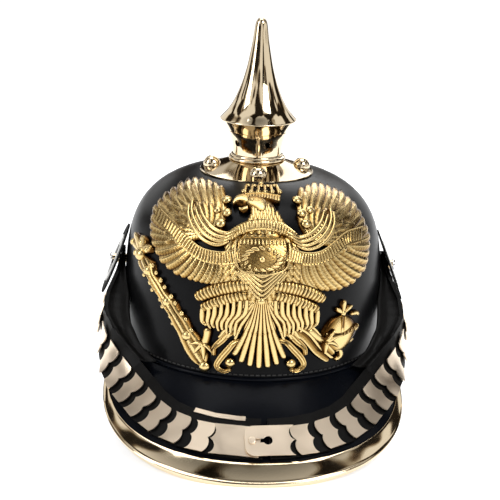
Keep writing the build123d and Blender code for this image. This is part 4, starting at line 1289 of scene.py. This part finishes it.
for name, first, last in (("front", -86, 86), ("rear", 94, 266)):
    welt_line = brim_frames(first, last, 120, welt_grow, welt_height)
    welt = swept(welt_line, round_section(welt_radius, 12))
    add_piece("%s_welt" % name, welt, peak_leather, "helmet")
    thread = bmesh.new()
    pitch = (last - first) / stitch_count
    for i in range(stitch_count):
        start = first + pitch * i
        end = start + pitch * stitch_share
        stitch_line = brim_frames(start, end, 4, thread_grow, thread_height)
        join(thread, swept(stitch_line, round_section(thread_radius, 6)))
    add_piece("%s_stitches" % name, thread, waxed_thread, "helmet")


# Camera at the photograph's place

camera_distance = 1177.94
camera_rise = 397.49
camera_turn = math.radians(-2.4)
camera_aim = camera_turn + math.radians(0.13)
camera_pitch = math.radians(-15.9)
camera_roll = math.radians(2.0)
camera_pixels = 1643.88
photo_pixels = 500.0
sensor_width = 36.0

forward = Vector(
    (
        -math.sin(camera_aim) * math.cos(camera_pitch),
        math.cos(camera_aim) * math.cos(camera_pitch),
        math.sin(camera_pitch),
    )
)
level = forward.cross(Vector((0, 0, 1))).normalized()
rise = level.cross(forward)
right = level * math.cos(camera_roll) + rise * math.sin(camera_roll)
upward = rise * math.cos(camera_roll) - level * math.sin(camera_roll)
camera_spot = Vector((math.sin(camera_turn), -math.cos(camera_turn), 0)) * camera_distance
camera_spot.z = camera_rise
camera_data = bpy.data.cameras.new("camera")
camera_data.sensor_width = sensor_width
camera_data.lens = sensor_width * camera_pixels / photo_pixels
camera_data.clip_start = 0.05
camera_data.clip_end = 20.0
camera = bpy.data.objects.new("camera", camera_data)
camera.matrix_world = axes_frame(to_row_frame @ camera_spot, right, upward, -forward)
scene.collection.objects.link(camera)
scene.camera = camera


# Studio: white floor and backdrop, soft boxes round the helmet. Its lengths are in metres

scene.view_settings.view_transform = "Standard"
floor_half = 4.0


def seen_rays(tree, *kinds):
    """1 on rays of any of the kinds, 0 on the others."""
    path = place_node(tree, "ShaderNodeLightPath")
    total = path.outputs[kinds[0]]
    for kind in kinds[1:]:
        either = place_math(tree, "MAXIMUM")
        tree.links.new(total, either.inputs[0])
        tree.links.new(path.outputs[kind], either.inputs[1])
        total = either.outputs[0]
    return total


def make_floor():
    """A pale floor that stays white behind the helmet and keeps its shadow."""
    bm = bmesh.new()
    bmesh.ops.create_grid(bm, x_segments=1, y_segments=1, size=floor_half)
    mesh = bpy.data.meshes.new("floor")
    bm.to_mesh(mesh)
    bm.free()
    floor = bpy.data.objects.new("floor", mesh)
    scene.collection.objects.link(floor)
    material, tree, shader = principled(
        "floor_white", Base_Color=(0.9, 0.9, 0.9, 1), Roughness=0.9, Emission_Color=(1, 1, 1, 1)
    )
    mesh.materials.append(material)
    glow = place_math(tree, "MULTIPLY_ADD", 0.5, 0.15)
    seen = seen_rays(tree, "Is Camera Ray", "Is Glossy Ray", "Is Transmission Ray")
    tree.links.new(seen, glow.inputs[0])
    wire(tree, (glow, 0, shader, "Emission Strength"))


def make_world():
    """Surroundings: white to the camera, a studio with dark patches to the metal, grey as a light."""
    world = bpy.data.worlds.new("studio")
    world.use_nodes = True
    scene.world = world
    tree = world.node_tree
    tree.nodes.clear()
    light = place_node(tree, "ShaderNodeBackground", Color=(0.75, 0.77, 0.8, 1), Strength=0.55)
    white = place_node(tree, "ShaderNodeBackground", Color=(1, 1, 1, 1), Strength=1.0)
    glossy = place_node(tree, "ShaderNodeBackground")
    where = place_node(tree, "ShaderNodeTexCoord")
    patches = place_node(tree, "ShaderNodeTexNoise", Scale=3.3, Detail=1.0, Roughness=0.4)
    ramp = place_ramp(
        tree,
        (0.45, (0.02, 0.016, 0.012, 1)),
        (0.475, (0.16, 0.11, 0.07, 1)),
        (0.505, (0.58, 0.54, 0.46, 1)),
        (0.54, (1, 1, 1, 1)),
    )
    height = place_node(tree, "ShaderNodeSeparateXYZ")
    ceiling = place_node(
        tree, "ShaderNodeMapRange", From_Min=0.84, From_Max=0.96, To_Min=1.0, To_Max=0.25
    )
    unseen = place_node(tree, "ShaderNodeMixShader")
    seen = place_node(tree, "ShaderNodeMixShader")
    out = place_node(tree, "ShaderNodeOutputWorld")
    wire(
        tree,
        (where, "Generated", patches, "Vector"),
        (patches, "Fac", ramp, "Fac"),
        (ramp, "Color", glossy, "Color"),
        (where, "Generated", height, 0),
        (height, "Z", ceiling, "Value"),
        (ceiling, 0, glossy, "Strength"),
        (light, 0, unseen, 1),
        (glossy, 0, unseen, 2),
        (unseen, 0, seen, 1),
        (white, 0, seen, 2),
        (seen, 0, out, "Surface"),
    )
    tree.links.new(seen_rays(tree, "Is Glossy Ray"), unseen.inputs[0])
    tree.links.new(seen_rays(tree, "Is Camera Ray", "Is Transmission Ray"), seen.inputs[0])


def soft_box(name, place, aim_height, width, height, watts):
    """A rectangular lamp that looks at a height on the helmet's axis."""
    data = bpy.data.lights.new(name, "AREA")
    data.shape = "RECTANGLE"
    data.size, data.size_y = width, height
    data.energy = watts
    lamp = bpy.data.objects.new(name, data)
    lamp.location = place
    lamp.rotation_mode = "QUATERNION"
    way = Vector((0, 0, aim_height)) - Vector(place)
    lamp.rotation_quaternion = way.to_track_quat("-Z", "Y")
    scene.collection.objects.link(lamp)


make_floor()
make_world()
soft_box("key_box", (0.9, -1.1, 1.3), 0.15, width=0.8, height=0.8, watts=14)
soft_box("fill_box", (-1.3, -0.6, 0.8), 0.15, width=0.5, height=1.0, watts=8)
soft_box("top_box", (0.0, 0.2, 1.6), 0.1, width=1.2, height=1.0, watts=12)
soft_box("back_box", (0.3, 1.4, 0.9), 0.15, width=1.0, height=0.6, watts=6)


# Materials of the CAD nodes, by their slots

slot_materials = {
    "shell_leather": shell_leather,
    "strap_leather": strap_leather,
    "lining_leather": lining_leather,
    "polished_brass": pale_brass,
    "gilt_brass": gilt,
    "steel": bright_steel,
    "cockade_black": black_paint,
    "cockade_white": white_paint,
}
for row in frame["record"]["subparts"]:
    mesh = nodes[row["node"]].data
    mesh.materials.clear()
    mesh.materials.append(slot_materials[row["material_slot"]])
